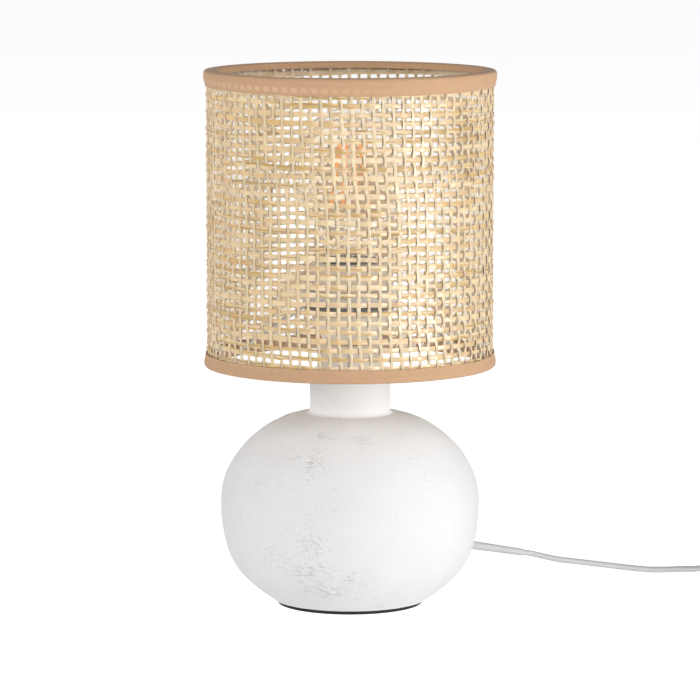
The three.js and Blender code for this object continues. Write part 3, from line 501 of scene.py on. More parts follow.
def merged(parts):
    """Several (vertices, faces) pairs as one."""
    vertices, faces, start = [], [], 0
    for points, polygons in parts:
        vertices.append(np.asarray(points, float))
        faces += [[index + start for index in polygon] for polygon in polygons]
        start += len(points)
    return np.concatenate(vertices), faces


def wander(count, every, generator, wrap):
    """Smooth random numbers of about unit size, one knot every so many samples."""
    knots = generator.normal(size=max(4, int(count / every) + 3))
    if wrap:
        knots[-1] = knots[0]
    at = np.linspace(0, len(knots) - 1, count, endpoint=not wrap)
    index = np.minimum(at.astype(int), len(knots) - 2)
    blend = at - index
    blend = blend * blend * (3 - 2 * blend)
    return knots[index] * (1 - blend) + knots[index + 1] * blend


def waves(count, generator, wrap=False):
    """A function that adds smooth random waves, each one (size, every), to a middle value."""
    def uneven(middle, *sizes):
        for size, every in sizes:
            middle = middle + size * wander(count, every, generator, wrap)
        return middle
    return uneven


# ---- cord

# The route of the flex, as the CAD model has it
OUTLET_ANGLE = math.radians(30)
OUTLET_SLOPE = math.radians(12)
OUTLET = Vector((53.6, 30.95, 25.5)) * MM
OUTWARD = Vector((
    math.cos(OUTLET_ANGLE) * math.cos(OUTLET_SLOPE),
    math.sin(OUTLET_ANGLE) * math.cos(OUTLET_SLOPE),
    -math.sin(OUTLET_SLOPE)))
LEAD = [
    (103.5, 58.2, 12.9), (111.8, 61.6, 10.6), (120, 65.3, 9), (128, 68.4, 7.5),
    (139, 72.3, 5.5), (150, 75.6, 3.6), (161, 78.4, 2.1), (170, 80.4, 1.7),
    (179, 82, 1.7), (188, 83.6, 1.7), (196, 85, 3.4), (203, 85.9, 6.2),
    (208.7, 86, 7.2), (211.7, 86, 7.2)]
THROUGH_SWITCH = [(226, 86, 7.2), (241, 86, 7.2), (256, 86, 7.2)]
SWITCH_TO_COIL = [
    (270.3, 86, 7.2), (275.3, 86, 7.2), (282.3, 85.2, 5), (288.9, 84.5, 3.4),
    (294.9, 84.5, 3.1)]
COIL_TO_PLUG = [(294.9, 15.5, 7.9), (288.9, 15.5, 7.4), (282, 15.5, 6.85), (276.3, 15.5, 6.85)]
COIL_CENTRE = (310, 50)
COIL_TURNS = 8.5
COIL_OUTER_TURN = 34.5
COIL_PITCH = 3.3
COIL_LAYERS = (2.9, 8.1)  # heights of the two layers


def coil_points():
    """Clockwise from the top: inwards in the lower layer, and out again in the upper one."""
    per_turn = 24
    half = COIL_TURNS / 2
    climb = 0.5  # turns taken to change layers
    points = []
    for step in range(1, round(COIL_TURNS * per_turn)):
        turn = step / per_turn
        radius = COIL_OUTER_TURN - COIL_PITCH * (half - abs(turn - half))
        rise = min(max((turn - half) / climb + 0.5, 0), 1)
        height = COIL_LAYERS[0] + (COIL_LAYERS[1] - COIL_LAYERS[0]) * rise
        angle = math.pi / 2 - math.tau * turn
        points.append((
            COIL_CENTRE[0] + radius * math.cos(angle),
            COIL_CENTRE[1] + radius * math.sin(angle),
            height))
    return points


def smooth_line(points, spacing):
    """A curve through the points that never overshoots them: centripetal Catmull-Rom."""
    points = [2 * points[0] - points[1], *points, 2 * points[-1] - points[-2]]
    made = []
    for a, b, c, d in zip(points, points[1:], points[2:], points[3:]):
        tb = math.sqrt((b - a).length)
        tc = tb + math.sqrt((c - b).length)
        td = tc + math.sqrt((d - c).length)
        steps = max(1, round((c - b).length / spacing))
        for step in range(steps):
            t = tb + (tc - tb) * step / steps
            ab = a.lerp(b, t / tb)
            bc = b.lerp(c, (t - tb) / (tc - tb))
            cd = c.lerp(d, (t - tc) / (td - tc))
            abc = ab.lerp(bc, t / tc)
            bcd = bc.lerp(cd, (t - tb) / (td - tb))
            made.append(abc.lerp(bcd, (t - tb) / (tc - tb)))
    return [*made, points[-2]]


def flex_route():
    outside = [OUTLET + OUTWARD * (reach * MM) for reach in (0, 8, 16, 24, 32, 40, 45.3, 50)]
    rest = [*LEAD, *THROUGH_SWITCH, *SWITCH_TO_COIL, *coil_points(),
            (COIL_CENTRE[0], COIL_CENTRE[1] - COIL_OUTER_TURN, COIL_LAYERS[1]), *COIL_TO_PLUG]
    return smooth_line(outside + [Vector(point) * MM for point in rest], 2.2 * MM)


def squared_up(value, power):
    """A sine or cosine raised to a power, with its sign kept: it squares up a circle."""
    return math.copysign(abs(value) ** power, value)


def flat_section(width, thickness, sides=16):
    """Points of the flex's flat oval, as (across the width, across the thickness)."""
    angles = [math.tau * (k + 0.5) / sides for k in range(sides)]
    return [(width / 2 * squared_up(math.cos(angle), 0.7),
             thickness / 2 * squared_up(math.sin(angle), 0.8)) for angle in angles]


def flex():
    """The flat flex: its wide side lies level up to the switch, and stands up in the coil."""
    path = np.array(flex_route())
    side, third = frames_along(path)
    entry, leave = low("switch_lower").x, high("switch_lower").x
    before = np.arange(len(path)) <= np.argmax(path[:, 0] > leave)
    share = np.where(before, np.clip((path[:, 0] - entry) / (leave - entry), 0, 1), 1)
    roll = share * math.pi / 2
    wide = side * np.cos(roll)[:, None] + third * np.sin(roll)[:, None]
    thin = third * np.cos(roll)[:, None] - side * np.sin(roll)[:, None]
    section = flat_section(FLEX_WIDTH, FLEX_THICKNESS)
    vertices = np.concatenate([
        point + np.array([w * a + t * b for a, b in section])
        for point, w, t in zip(path, wide, thin)])
    shape = vertices, capped_tube(len(path), len(section))
    piece = add_piece("flat_flex", shape, FLEX, "base",
                      ("cord_lead", "cord_middle", "cord_coil", "cord_tail"), 60)
    return piece, path


def sleeve():
    """Tapered strain relief round the flex, with a soft rim at its thin end."""
    stations = [(-10.5, 0.85), (0, 0.85), (2, 0.85), (12, 0.72), (24, 0.56), (36, 0.42),
                (43.6, 0.33), (44.6, 0.3), (45, 0.12)]
    across = Vector((-math.sin(OUTLET_ANGLE), math.cos(OUTLET_ANGLE), 0))
    third = OUTWARD.cross(across)
    rings = []
    for reach, margin in stations:
        centre = OUTLET + OUTWARD * (reach * MM)
        wide = FLEX_WIDTH + 2 * margin * MM
        thin = FLEX_THICKNESS + 2 * margin * MM
        rings += [centre + across * a + third * b for a, b in flat_section(wide, thin, 24)]
    shape = rings, capped_tube(len(stations), 24)
    return add_piece("strain_relief", shape, FLEX, "base", ("cord_sleeve",), 60)


def coil_tie():
    """Paper-covered wire twisted round the coil on its far side."""
    middle = COIL_OUTER_TURN - COIL_PITCH * COIL_TURNS / 4
    half_across = COIL_PITCH * COIL_TURNS / 4 + FLEX_THICKNESS / MM / 2 + 0.2
    top = COIL_LAYERS[1] + FLEX_WIDTH / MM / 2 + 0.3
    centre_height = (top + 0.25) / 2
    out = toward(math.radians(25))
    along = Vector((-out.y, out.x, 0))
    up = Vector((0, 0, 1))
    centre = Vector((*COIL_CENTRE, centre_height)) + out * middle
    steps, square = 40, 0.35
    turns = [math.tau * k / steps for k in range(steps)]
    loop = [centre + out * squared_up(math.cos(turn), square) * half_across
            + up * squared_up(math.sin(turn), square) * (centre_height - 0.25) for turn in turns]
    section = [(-1.6, 0.16), (0, 0.22), (1.6, 0.16), (1.6, -0.12), (0, -0.12), (-1.6, -0.12)]
    rings = []
    for k, point in enumerate(loop):
        normal = (loop[(k + 1) % steps] - loop[k - 1]).normalized().cross(along)
        rings += [(point + along * a + normal * b) * MM for a, b in section]
    parts = [(rings, ring_faces(steps, 6, closed=True))]
    knot = centre + out * (half_across + 0.2) + up
    tail, twists, spread = 9, 2.5, 0.6
    for phase in (0, math.pi):
        twist = []
        for k in range(30):
            share = k / 29
            turn = phase + share * twists * math.tau
            spin = along * math.cos(turn) * spread + up * math.sin(turn) * spread
            twist.append((knot + out * share * tail + spin) * MM)
        parts.append(wire(twist, 0.5 * MM, 8))
    return add_piece("coil_tie", merged(parts), WHITE, "base", sharp=50)


FLEX_PIECE, FLEX_PATH = flex()
SLEEVE_PIECE = sleeve()
TIE_PIECE = coil_tie()


def refined_copy(name, node, finish, body, bevel):
    """A CAD node's shape as one smooth-shaded mesh with small rounded edges."""
    sharp = 35  # edges with at least this turn, in degrees, are rounded
    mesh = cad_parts[node].data.copy()
    mesh.name = name
    work = bmesh.new()
    work.from_mesh(mesh)
    bmesh.ops.remove_doubles(work, verts=work.verts, dist=2e-6)
    bmesh.ops.dissolve_limit(
        work, angle_limit=math.radians(0.5), verts=work.verts, edges=work.edges)
    work.to_mesh(mesh)
    work.free()
    mesh.materials.clear()
    piece = add_mesh(mesh, finish, body, (node,), sharp)
    rounding = piece.modifiers.new("rounded_edges", "BEVEL")
    rounding.width = bevel * MM
    rounding.segments = 3
    rounding.limit_method = "ANGLE"
    rounding.angle_limit = math.radians(sharp)
    rounding.harden_normals = True
    return piece


PLUG = refined_copy("plug", "plug_body", WHITE, "base", 0.9)
PINS = [refined_copy("pin_left", "plug_pin_1", BRASS, "base", 0.2),
        refined_copy("pin_right", "plug_pin_2", BRASS, "base", 0.2)]
SWITCH = [refined_copy("switch_base", "switch_lower", WHITE, "base", 0.5),
          refined_copy("switch_cover", "switch_upper", WHITE, "base", 0.5)]
ROCKER = refined_copy("rocker", "switch_rocker", WHITE, "rocker", 0.4)

# ---- ceramic base

# Worn areas of the slip: degrees round from the front towards +X, height of the middle,
# half spread across and up in millimetres, how worn from 0 to 1
WORN = [
    (-17, 41, 9, 9, 0.9),
    (-21, 26, 19, 10, 0.78),
    (-13, 15, 14, 5, 0.78),
    (0, 23, 6, 6, 0.72),
    (-38, 34, 10, 10, 0.7),
    (-57, 51, 5, 6, 0.6),
    (-7, 69, 3, 3, 0.7),
    (-18, 80, 7, 9, 0.72),
    (-31, 82, 11, 4, 0.55),
    (-47, 72, 6, 12, 0.5),
    (-17, 93, 8, 3, 0.78),
    (8, 91, 6, 4, 0.78),
    (37, 92, 7, 2, 0.65),
    (-40, 62, 30, 24, 0.3),
    (95, 52, 30, 22, 0.5),
    (170, 48, 40, 25, 0.62),
    (140, 85, 34, 6, 0.7),
    (-115, 50, 30, 24, 0.6),
]
SCRATCHED_ABOVE = 66  # higher up the marks are level scratches; lower down, slanting chips
SLIP_WAVE = 0.28  # unevenness of the slip


def curve(start, pull, push, end, steps=120):
    """A cubic Bezier curve as an array of points."""
    t = np.linspace(0, 1, steps)[:, None]
    a, b, c, d = (np.array(point, float) for point in (start, pull, push, end))
    return a * (1 - t) ** 3 + 3 * b * t * (1 - t) ** 2 + 3 * c * t * t * (1 - t) + d * t ** 3


def evenly(points, spacing):
    """The same line with its points evenly spaced."""
    points = np.asarray(points, float)
    run = run_along(points)
    count = max(2, round(run[-1] / spacing))
    at = np.linspace(0, run[-1], count)
    return np.column_stack([np.interp(at, run, points[:, k]) for k in range(points.shape[1])])


def ball_outline():
    """Foot, ball and neck from the outside, as (radius, height) in millimetres."""
    bottom, top = CERAMIC_BOTTOM / MM, NECK_TOP / MM
    foot, belly, neck, belly_height, shoulder = 40.1, 66.7, 20.7, 54.1, 98.9
    fillet, rim = 2.2, 1.0
    lower = curve((foot, bottom + 0.6), (foot + 17.3, bottom + 12.2),
                  (belly, belly_height - 30.9), (belly, belly_height))
    upper = curve((belly, belly_height), (belly, belly_height + 24.2),
                  (neck + 20.2, shoulder - 0.9), (neck + fillet, shoulder))
    turn = np.linspace(0, math.pi / 2, 12)[1:]
    corner = np.column_stack([
        neck + fillet - fillet * np.sin(turn), shoulder + fillet - fillet * np.cos(turn)])
    lip = np.column_stack([neck - rim + rim * np.cos(turn), top - rim + rim * np.sin(turn)])
    start = [(foot - 1.2, bottom), (foot - 0.4, bottom + 0.15)]
    return np.concatenate([start, lower, upper[1:], corner, [(neck, top - rim)], lip])


def chips(azimuth, run, outline, generator):
    """Depth of the larger chips over the outside, as rings by columns in millimetres."""
    heights, radii = outline[:, 1], outline[:, 0]
    depth = np.zeros((len(outline), len(azimuth)))
    crowding = 2.6  # chips for each millimetre of a worn area's size
    steepness = 0.17  # greatest depth for its length
    reach = 3.2  # how many lengths away a chip still shows
    for degrees, height, across, up, worn in WORN:
        for _ in range(round(worn * math.sqrt(across * up) * crowding)):
            at = height + up * float(np.clip(generator.normal(), -2, 2)) * 0.6
            ring = int(np.argmin(np.abs(heights - at)))
            radius = radii[ring]
            turn = math.radians(degrees) + across / radius * generator.normal() * 0.6
            length = (0.9 + 0.9 * worn) * generator.uniform(0.4, 1)
            width = length * generator.uniform(0.35, 0.8)
            deep = steepness * length * generator.uniform(0.35, 1)
            lean = generator.normal() * 0.25 if at > SCRATCHED_ABOVE else 0.9
            rows = np.abs(run - run[ring]) < reach * length
            gap = angle_apart(azimuth, turn)
            columns = np.abs(gap) * radius < reach * length
            x = gap[columns][None, :] * radius
            y = (run[rows] - run[ring])[:, None]
            u = (x * math.cos(lean) + y * math.sin(lean)) / length
            v = (y * math.cos(lean) - x * math.sin(lean)) / width
            far = u * u + v * v
            dent = np.exp(-far ** 1.5) - 0.35 * np.exp(-(np.sqrt(far) - 1.5) ** 2 * 4)
            depth[np.ix_(rows, columns)] += deep * dent
    return depth


def worn_areas(azimuth, outline):
    """How chipped and how scratched each point of the outside is, from 0 to 1."""
    chipped = np.zeros((len(outline), len(azimuth)))
    scratched = np.zeros((len(outline), len(azimuth)))
    for degrees, height, across, up, worn in WORN:
        gap = angle_apart(azimuth, math.radians(degrees))
        x = gap[None, :] * outline[:, :1] / across
        y = (outline[:, 1:] - height) / up
        spot = worn * np.exp(-0.7 * (x * x + y * y) ** 1.2)
        area = scratched if height > SCRATCHED_ABOVE else chipped
        np.maximum(area, spot, out=area)
    return chipped, scratched


def ceramic_base():
    """The ball with its neck: hollow, slightly uneven, chipped and pitted outside."""
    generator = np.random.default_rng(11)
    sides = 460
    outline = evenly(ball_outline(), 0.88)
    run = run_along(outline)
    turn = full_turn(sides)
    azimuth = turn + math.pi / 2  # from the front
    normal = outward(outline)
    depth = chips(azimuth, run, outline, generator)
    smooth_neck = np.interp(run, [0, 3, run[-1] - 26, run[-1] - 18], [0, 1, 1, 0.35])
    rings = []
    for (radius, height), (out, up), dents, share in zip(outline, normal, depth, smooth_neck):
        points = [Vector(point) for point in around(radius, turn, height)]
        wave = np.array([noise.noise(at / 17) + 0.4 * noise.noise(at / 5) for at in points])
        move = (SLIP_WAVE * wave - dents) * share
        rings.append(around(radius + out * move, turn, height + up * move))
    wall, neck, hole, foot = 6, 14.7, 5.3, 31.1  # the wall, and the radii inside it
    bottom, top = CERAMIC_BOTTOM / MM, NECK_TOP / MM
    inner = outline[::6] - wall * normal[::6]
    inner = inner[(inner[:, 1] > bottom + 7) & (inner[:, 0] > neck + 0.5)]
    inside = [(hole, top), (hole, top - wall), (neck, top - wall), (neck, 96), *inner[::-1],
              (foot, bottom + wall), (foot, bottom)]
    rings += [around(radius, turn, height) for radius, height in inside]
    vertices = np.concatenate(rings) * MM
    shape = vertices, ring_faces(len(rings), sides, closed=True)
    piece = add_piece("ceramic_base", shape, CERAMIC, "base", ("base_body",), 70)
    hidden = np.zeros(len(inside) * sides)
    chipped, scratched = (np.concatenate([area.ravel(), hidden])
                          for area in worn_areas(azimuth, outline))
    round_it = np.tile(azimuth, len(rings)) * np.repeat(
        [*outline[:, 0], *(radius for radius, _ in inside)], sides)
    up_it = np.repeat([*run, *(run[-1] + k for k in range(len(inside)))], sides)
    # bloom is painted light: full on the shoulder, fading down the ball and onto the neck.
    paint(piece, chipped=chipped, scratched=scratched,
          skin=np.column_stack([round_it, up_it, 0 * up_it]) * MM,
          bloom=np.interp(vertices[:, 2] / MM, (60, 88, 97, 105), (0, 1, 1, 0.3)))


def foam_foot():
    radius, thickness = 37.5, 1.7
    edge = [(1, 0), (radius, 0), (radius, thickness), (1, thickness)]
    profile = [(0.5, 0), *softened(edge, 0.4, closed=False), (0.5, thickness)]
    shape = solid_of_revolution(shifted(profile, 0), 160)
    add_piece("foam_foot", shape, FOAM, "base", ("foot_pad",), 50)


ceramic_base()
foam_foot()

# ---- lampholder


def turned_piece(name, profile, height, finish, body, replaced, corner, sides=96):
    """A hollow turned piece: its closed profile in millimetres above a height in metres."""
    shape = lathe(shifted(softened(profile, corner), height), sides)
    add_piece(name, shape, finish, body, replaced)


def densely(profile, spacing):
    """The closed profile with points added along its long straight sides."""
    made = []
    for here, there in zip(profile, [*profile[1:], profile[0]]):
        steps = max(1, int(math.dist(here, there) / spacing))
        for step in range(steps):
            t = step / steps
            made.append((here[0] + (there[0] - here[0]) * t, here[1] + (there[1] - here[1]) * t))
    return made


def cut_thread(shape, bottom, top, least_radius, pitch, depth):
    """Cuts a rounded thread into the outside of a turned shape, between two heights."""
    vertices, faces = shape
    radius = np.hypot(vertices[:, 0], vertices[:, 1])
    angle = np.arctan2(vertices[:, 1], vertices[:, 0])
    height = vertices[:, 2]
    fade = np.clip(np.minimum(height - bottom, top - height) / pitch, 0, 1)
    wave = 0.5 - 0.5 * np.cos(math.tau * (height / pitch) - angle)
    cut = np.where(radius > least_radius, depth * wave * fade, 0)
    vertices[:, :2] *= (1 - cut / radius)[:, None]
    return vertices, faces


def lampholder():
    """White moulded E27 holder: cover, domed cap, threaded shell and the shade's clamp."""
    turned_piece("stem_cover", [
        (5.4, 13.6), (5.4, 11.6), (14.2, 11.6), (15.2, 0.3), (17.2, 0.3), (16.2, 13.6)],
        NECK_TOP, HOLDER_PAINTED_WARM, "base", ("neck_cover",), 0.9)
    turned_piece("holder_dome", [
        (5.4, 13.9), (13, 13.9), (16.6, 20.4), (19.6, 26.5), (19.6, 29.1), (17, 29.1),
        (17, 26.5), (13.8, 26.5), (13.8, 21.8), (11.2, 21.8), (10.4, 16.5), (5.4, 16.5)],
        NECK_TOP, HOLDER_PAINTED_WARM, "base", ("holder_cap",), 0.8)
    profile = densely(softened([
        (14.25, 30.4), (14.25, 55.5), (20, 55.5), (20, 32.1), (22.8, 32.1), (22.8, 29.4),
        (17.8, 29.4), (17.8, 53), (16.15, 53), (16.15, 30.4)], 0.6), 0.3)
    shape = cut_thread(lathe(shifted(profile, NECK_TOP)), bottom=154.5 * MM, top=176.2 * MM,
                       least_radius=19.5 * MM, pitch=2 * MM, depth=0.45 * MM)
    add_piece("holder_skirt", shape, HOLDER_PAINTED_WARM, "base", ("holder_shell",), 50)
    refined_copy("clamp_collar", "clamp_ring", CLAMP_SHADED_WHITE, "clamp", 0.25)


lampholder()

# ---- bulb

BULB_TIP = low("bulb_tip").z
GLOBE_MIDDLE = high("bulb_glass").z - 30 * MM


def glass_outline(inset):
    """The bulb's pear shape from its neck to its top, in millimetres above the tip."""
    globe, neck, middle = 30 - inset, 12.3 - inset, (GLOBE_MIDDLE - BULB_TIP) / MM
    start = (neck, 25.6)
    waist = curve(start, (neck + 0.2, 25.6 + middle * 0.23), (globe, middle * 0.71),
                  (globe, middle), 40)
    turn = np.linspace(0, math.pi / 2 - 0.02, 28)[1:]
    dome = np.column_stack([globe * np.cos(turn), middle + globe * np.sin(turn)])
    return [(neck, 16.6), (neck, 21), *map(tuple, waist), *map(tuple, dome)]


def bulb():
    """Clear E27 filament bulb: glass, threaded cap, insulator, tip, mount and filaments."""
    outer, inner = glass_outline(0), glass_outline(0.8)
    sides = 96
    shells = [lathe(shifted(outline, BULB_TIP), sides)[0] for outline in (outer, inner)]
    count = len(outer) * sides
    faces = ring_faces(len(outer), sides)
    faces += [face[::-1] for face in ring_faces(len(inner), sides, count)]
    faces += [list(range(count - sides, count)), list(range(2 * count - sides, 2 * count))[::-1]]
    faces += [[(k + 1) % sides, k, count + k, count + (k + 1) % sides] for k in range(sides)]
    shape = np.concatenate(shells), faces
    add_piece("bulb_envelope", shape, GLASS, "bulb", ("bulb_glass",), 60)
    profile = densely(softened([
        (9.3, 2.97), (9.8, 2.72), (13.2, 6.17), (13.2, 23.4), (13.9, 24.6), (13.4, 24.6),
        (12.7, 23.4), (12.7, 6.4)], 0.3), 0.35)
    shape = cut_thread(lathe(shifted(profile, BULB_TIP)), bottom=BULB_TIP + 6 * MM,
                       top=BULB_TIP + 22 * MM, least_radius=12.9 * MM, pitch=3.629 * MM,
                       depth=0.35 * MM)
    add_piece("bulb_cap", shape, NICKEL, "bulb", ("bulb_screw_cap",), 50)
    for name, node, finish, profile in (
            ("bulb_contact", "bulb_tip", NICKEL,
             [(0.3, 0), (3.2, 0), (4.6, 0.8), (4.6, 1.6), (0.3, 1.6)]),
            ("bulb_insulation", "bulb_insulator", BLACK_GLASS,
             [(0.3, 1.9), (5.6, 1.9), (9, 2.97), (9, 5.1), (0.3, 5.1)])):
        rounded = softened(profile, 0.4, closed=False)
        shape = solid_of_revolution(shifted(rounded, BULB_TIP), 64)
        add_piece(name, shape, finish, "bulb", (node,), 50)
    # Painted shade: a dark ring at the top of the cap, where the holder's mouth is in shade.
    turned_piece("painted_shade_ring", [(12.6, 24.9), (14.1, 24.9), (14.1, 27.3), (12.7, 27.3)],
                 BULB_TIP, BLACK_GLASS, "bulb", (), 0.4)
    foot = 11.2
    stem = evenly(np.concatenate([
        [(foot - 0.4, 16.6), (foot, 17.2)],
        curve((foot, 17.6), (foot * 0.4, 25), (foot * 0.3, 32), (foot * 0.28, 49), 24),
        [(foot * 0.15, 50.1)]]), 0.8)
    shape = solid_of_revolution(shifted(stem, BULB_TIP), 48)
    add_piece("bulb_mount", shape, GLASS, "bulb", ("bulb_stem",), 60)
    filaments()


def filaments():
    """Four amber filaments, closer together at the top, on a wire post with spokes."""
    top, top_radius = high("filament_1").z, 5.4
    bottom, bottom_radius = low("filament_1").z, 10.8
    spokes = []
    for k in range(4):
        out = toward(math.radians(90 * k + 20))
        first = out * bottom_radius * MM + Vector((0, 0, bottom))
        last = out * top_radius * MM + Vector((0, 0, top))
        line = [first.lerp(last, t) for t in (0, 0.012, 0.03, 0.5, 0.97, 0.988, 1)]
        radii = np.array([0.5, 0.9, 1.15, 1.15, 1.15, 0.9, 0.5]) * MM
        add_piece(f"led_filament_{k + 1}", wire(line, radii, 16), PHOSPHOR, "bulb",
                  (f"filament_{k + 1}",), 50)
        for point in (first, last):
            hub = Vector((0, 0, point.z))
            spokes.append(wire([hub, hub.lerp(point, 0.5), point], 0.35 * MM, 10))
    post = [(0, 0, BULB_TIP + 50.2 * MM), (0, 0, BULB_TIP + 70 * MM), (0, 0, top + 1.4 * MM)]
    spokes.append(wire(post, 0.45 * MM, 12))
    add_piece("bulb_supports", merged(spokes), NICKEL, "bulb", ("filament_support",), 50)


bulb()

# ---- shade frame

WIRE_RADIUS = 1.4 * MM
ARM_RADIUS = 1.25 * MM


def wire_ring(name, node):
    """A wire ring where the CAD has it; gives its radius and height."""
    middle = (low(node).z + high(node).z) / 2
    radius = high(node).x - WIRE_RADIUS
    angle = full_turn(20)
    profile = np.column_stack([
        radius + WIRE_RADIUS * np.cos(angle), middle + WIRE_RADIUS * np.sin(angle)])
    add_piece(name, lathe(profile, 240), ZINC, "shade", (node,), 60)
    return radius, middle


def frame_arm(k, ring_radius, ring_height):
    """A straight wire spot-welded to the carrier above and to the lower ring below."""
    out = toward(math.radians(120 * k - 90))
    carrier = (low("carrier_ring").z + high("carrier_ring").z) / 2
    inset = 0.6 * MM
    start = out * (high("carrier_ring").x - inset) + Vector((0, 0, carrier))
    end = out * (ring_radius - inset) + Vector((0, 0, ring_height))
    stations = np.linspace(0, 1, 60)
    line = [start.lerp(end, t) for t in stations]
    length = (end - start).length / MM
    weld = 0.45  # how much thicker the wire is at its welds
    swell = ARM_RADIUS * (1 + weld * np.exp(-(stations * length / 1.6) ** 2)
                          + weld * np.exp(-((1 - stations) * length / 1.8) ** 2))
    add_piece(f"shade_arm_{k + 1}", wire(line, swell, 20), ZINC, "shade",
              (f"frame_arm_{k + 1}",), 60)


def shade_frame():
    wire_ring("upper_wire_ring", "upper_ring")
    radius, height = wire_ring("lower_wire_ring", "lower_ring")
    hole, edge = 20.6, high("carrier_ring").x / MM
    top, bottom = high("carrier_ring").z, low("carrier_ring").z
    thickness = (top - bottom) / MM
    # The carrier ring is painted dark, as shade.
    turned_piece("shade_carrier", [(hole, 0), (edge, 0), (edge, thickness), (hole, thickness)],
                 bottom, SHADED_ZINC, "shade", ("carrier_ring",), 0.35, 128)
    for k in range(3):
        frame_arm(k, radius, height)


shade_frame()

# ---- woven raffia

STAKES = 89
STAKE_START = math.radians(269.22)
FIRST_ROW = SHADE_BOTTOM + 7.65 * MM  # middle of the lowest row that shows, at the front
ROW_PITCH = 4.563 * MM
WEAVE_RADIUS = 73.1 * MM  # middle of the cloth
WEFT_SWING = 0.45 * MM
STAKE_SWING = 0.12 * MM
WEFT_THICKNESS = 0.28 * MM
STAKE_THICKNESS = 0.42 * MM
STAKE_WIDTH, WEFT_WIDTH = 1.74, 2.36  # in millimetres, before each strand's unevenness
FRAYED_SPOTS = 150
SHEET_MARGIN = 0.7 * MM  # ends of the stakes inside the shade's edges
# How far the cloth has been pulled out of square, at heights above the shade's lower edge:
# (height, sag of the rows at the front) and (height, sideways sway of the stakes, in stakes)
ROW_SAG = [(0, 0), (36, 0.15), (44, 0.2), (48, 0.65), (54, 0.3), (63, 0.2), (73, 0.6),
           (83, 0.8), (96, 1.0), (110, 1.2), (121, 0.9), (127, 1.2), (136, 1.8), (141, 1.4),
           (148, 1.1), (152, 1.0)]
STAKE_SWAY = [(0, 0.4), (14, 0.24), (26, 0.07), (56, 0.05), (81, 0.02), (89, -0.04),
              (100, -0.28), (110, -0.44), (122, -0.5), (132, -0.6), (142, -0.68), (152, -0.72)]
BACK_SAG = [(0, 0), (18, 0.45), (40, 1.8), (61, 2.3), (81, 1.0), (100, -0.2), (114, -0.4),
            (143, 0.7), (152, 0.7)]
BACK_SWAY = 0.25


def at_height(table, height):
    """A value between the rows of a table of (millimetres above the lower edge, value)."""
    places, values = zip(*table)
    return np.interp((height - SHADE_BOTTOM) / MM, places, values)


def at_back(angle):
    """1 round the back of the shade, 0 round the front, and a soft step at the sides."""
    share = np.clip(0.5 + 1.2 * np.sin(angle), 0, 1)
    return share * share * (3 - 2 * share)


def sag(angle, height):
    """How far a row has sunk from its even height."""
    front = at_height(ROW_SAG, height) * (0.5 - 0.5 * np.sin(angle))
    return (front + at_height(BACK_SAG, height) * at_back(angle)) * MM


def sway(angle, height):
    """Sideways sway of the stakes as an angle."""
    stake = math.tau / STAKES
    lean = at_height(STAKE_SWAY, height) * (0.86 - 0.14 * np.sin(angle))
    return stake * (lean + BACK_SWAY * at_back(angle))


def weft_line(turn, lift):
    """The wound weft by turns from the lowest row's front: its angle, height and radius."""
    angle = 1.5 * math.pi - math.tau * turn
    height = FIRST_ROW + ROW_PITCH * turn + lift
    height = height - sag(angle, height)
    stake = (1.5 * math.pi - STAKE_START) / math.tau * STAKES - STAKES * turn
    stake = stake - sway(angle, height) * STAKES / math.tau
    return angle, height, WEAVE_RADIUS + WEFT_SWING * np.cos(math.pi * stake)


def row_number(angle, height):
    """Which turn of the weft passes here, as a number that is whole at its middle."""
    return (height + sag(angle, height) - FIRST_ROW) / ROW_PITCH + (
        angle - 1.5 * math.pi) / math.tau


def leaf_section(width, thickness):
    """Seven points round a flat leaf: how far across it, for each width, and how far out."""
    across = width[:, None] / 2 * [-1, -1, -1, -1, 1, 1, 1] + np.array(
        [0, 0, 0.3, 0.5, -0.3, 0, 0]) * MM
    return across, thickness / 2 * np.array([-1, 0.3, 1, 1.05, 1, 0.3, -1])


def ribbon(angle, height, radius, across, out, lean=0, upright=False):
    """A strand with this section that is upright, as a stake, or runs level."""
    angle, height = angle[:, None], height[:, None]
    if upright:
        angle = angle + across / WEAVE_RADIUS
    else:
        height = height + across
    points = around(radius[:, None] + out + across * np.reshape(lean, (-1, 1)), angle, height)
    return points.reshape(-1, 3), capped_tube(*across.shape)


def strand_field(along, across, number):
    """Length and width coordinates for the fibres, different on each strand."""
    along = np.broadcast_to(along[..., None], across.shape)
    return np.stack([along + 0.37 * number, across + 0.11 * number,
                     np.full(across.shape, 1.7) * number], axis=-1).reshape(-1, 3)


class Strands:
    """Strands gathered into one piece, with the layers that their finish reads."""

    def __init__(self):
        self.shapes = []
        self.layers = {}

    def add(self, shape, **layers):
        """One more strand; a layer has a value for each vertex, or the same for all."""
        self.shapes.append(shape)
        for name, values in layers.items():
            if np.ndim(values) == 0:
                values = np.full(len(shape[0]), values)
            self.layers.setdefault(name, []).append(values)

    def finish(self, name, replaced=(), sharp=20):
        piece = add_piece(name, merged(self.shapes), RAFFIA, "shade", replaced, sharp)
        paint(piece, **{layer: np.concatenate(parts) for layer, parts in self.layers.items()})


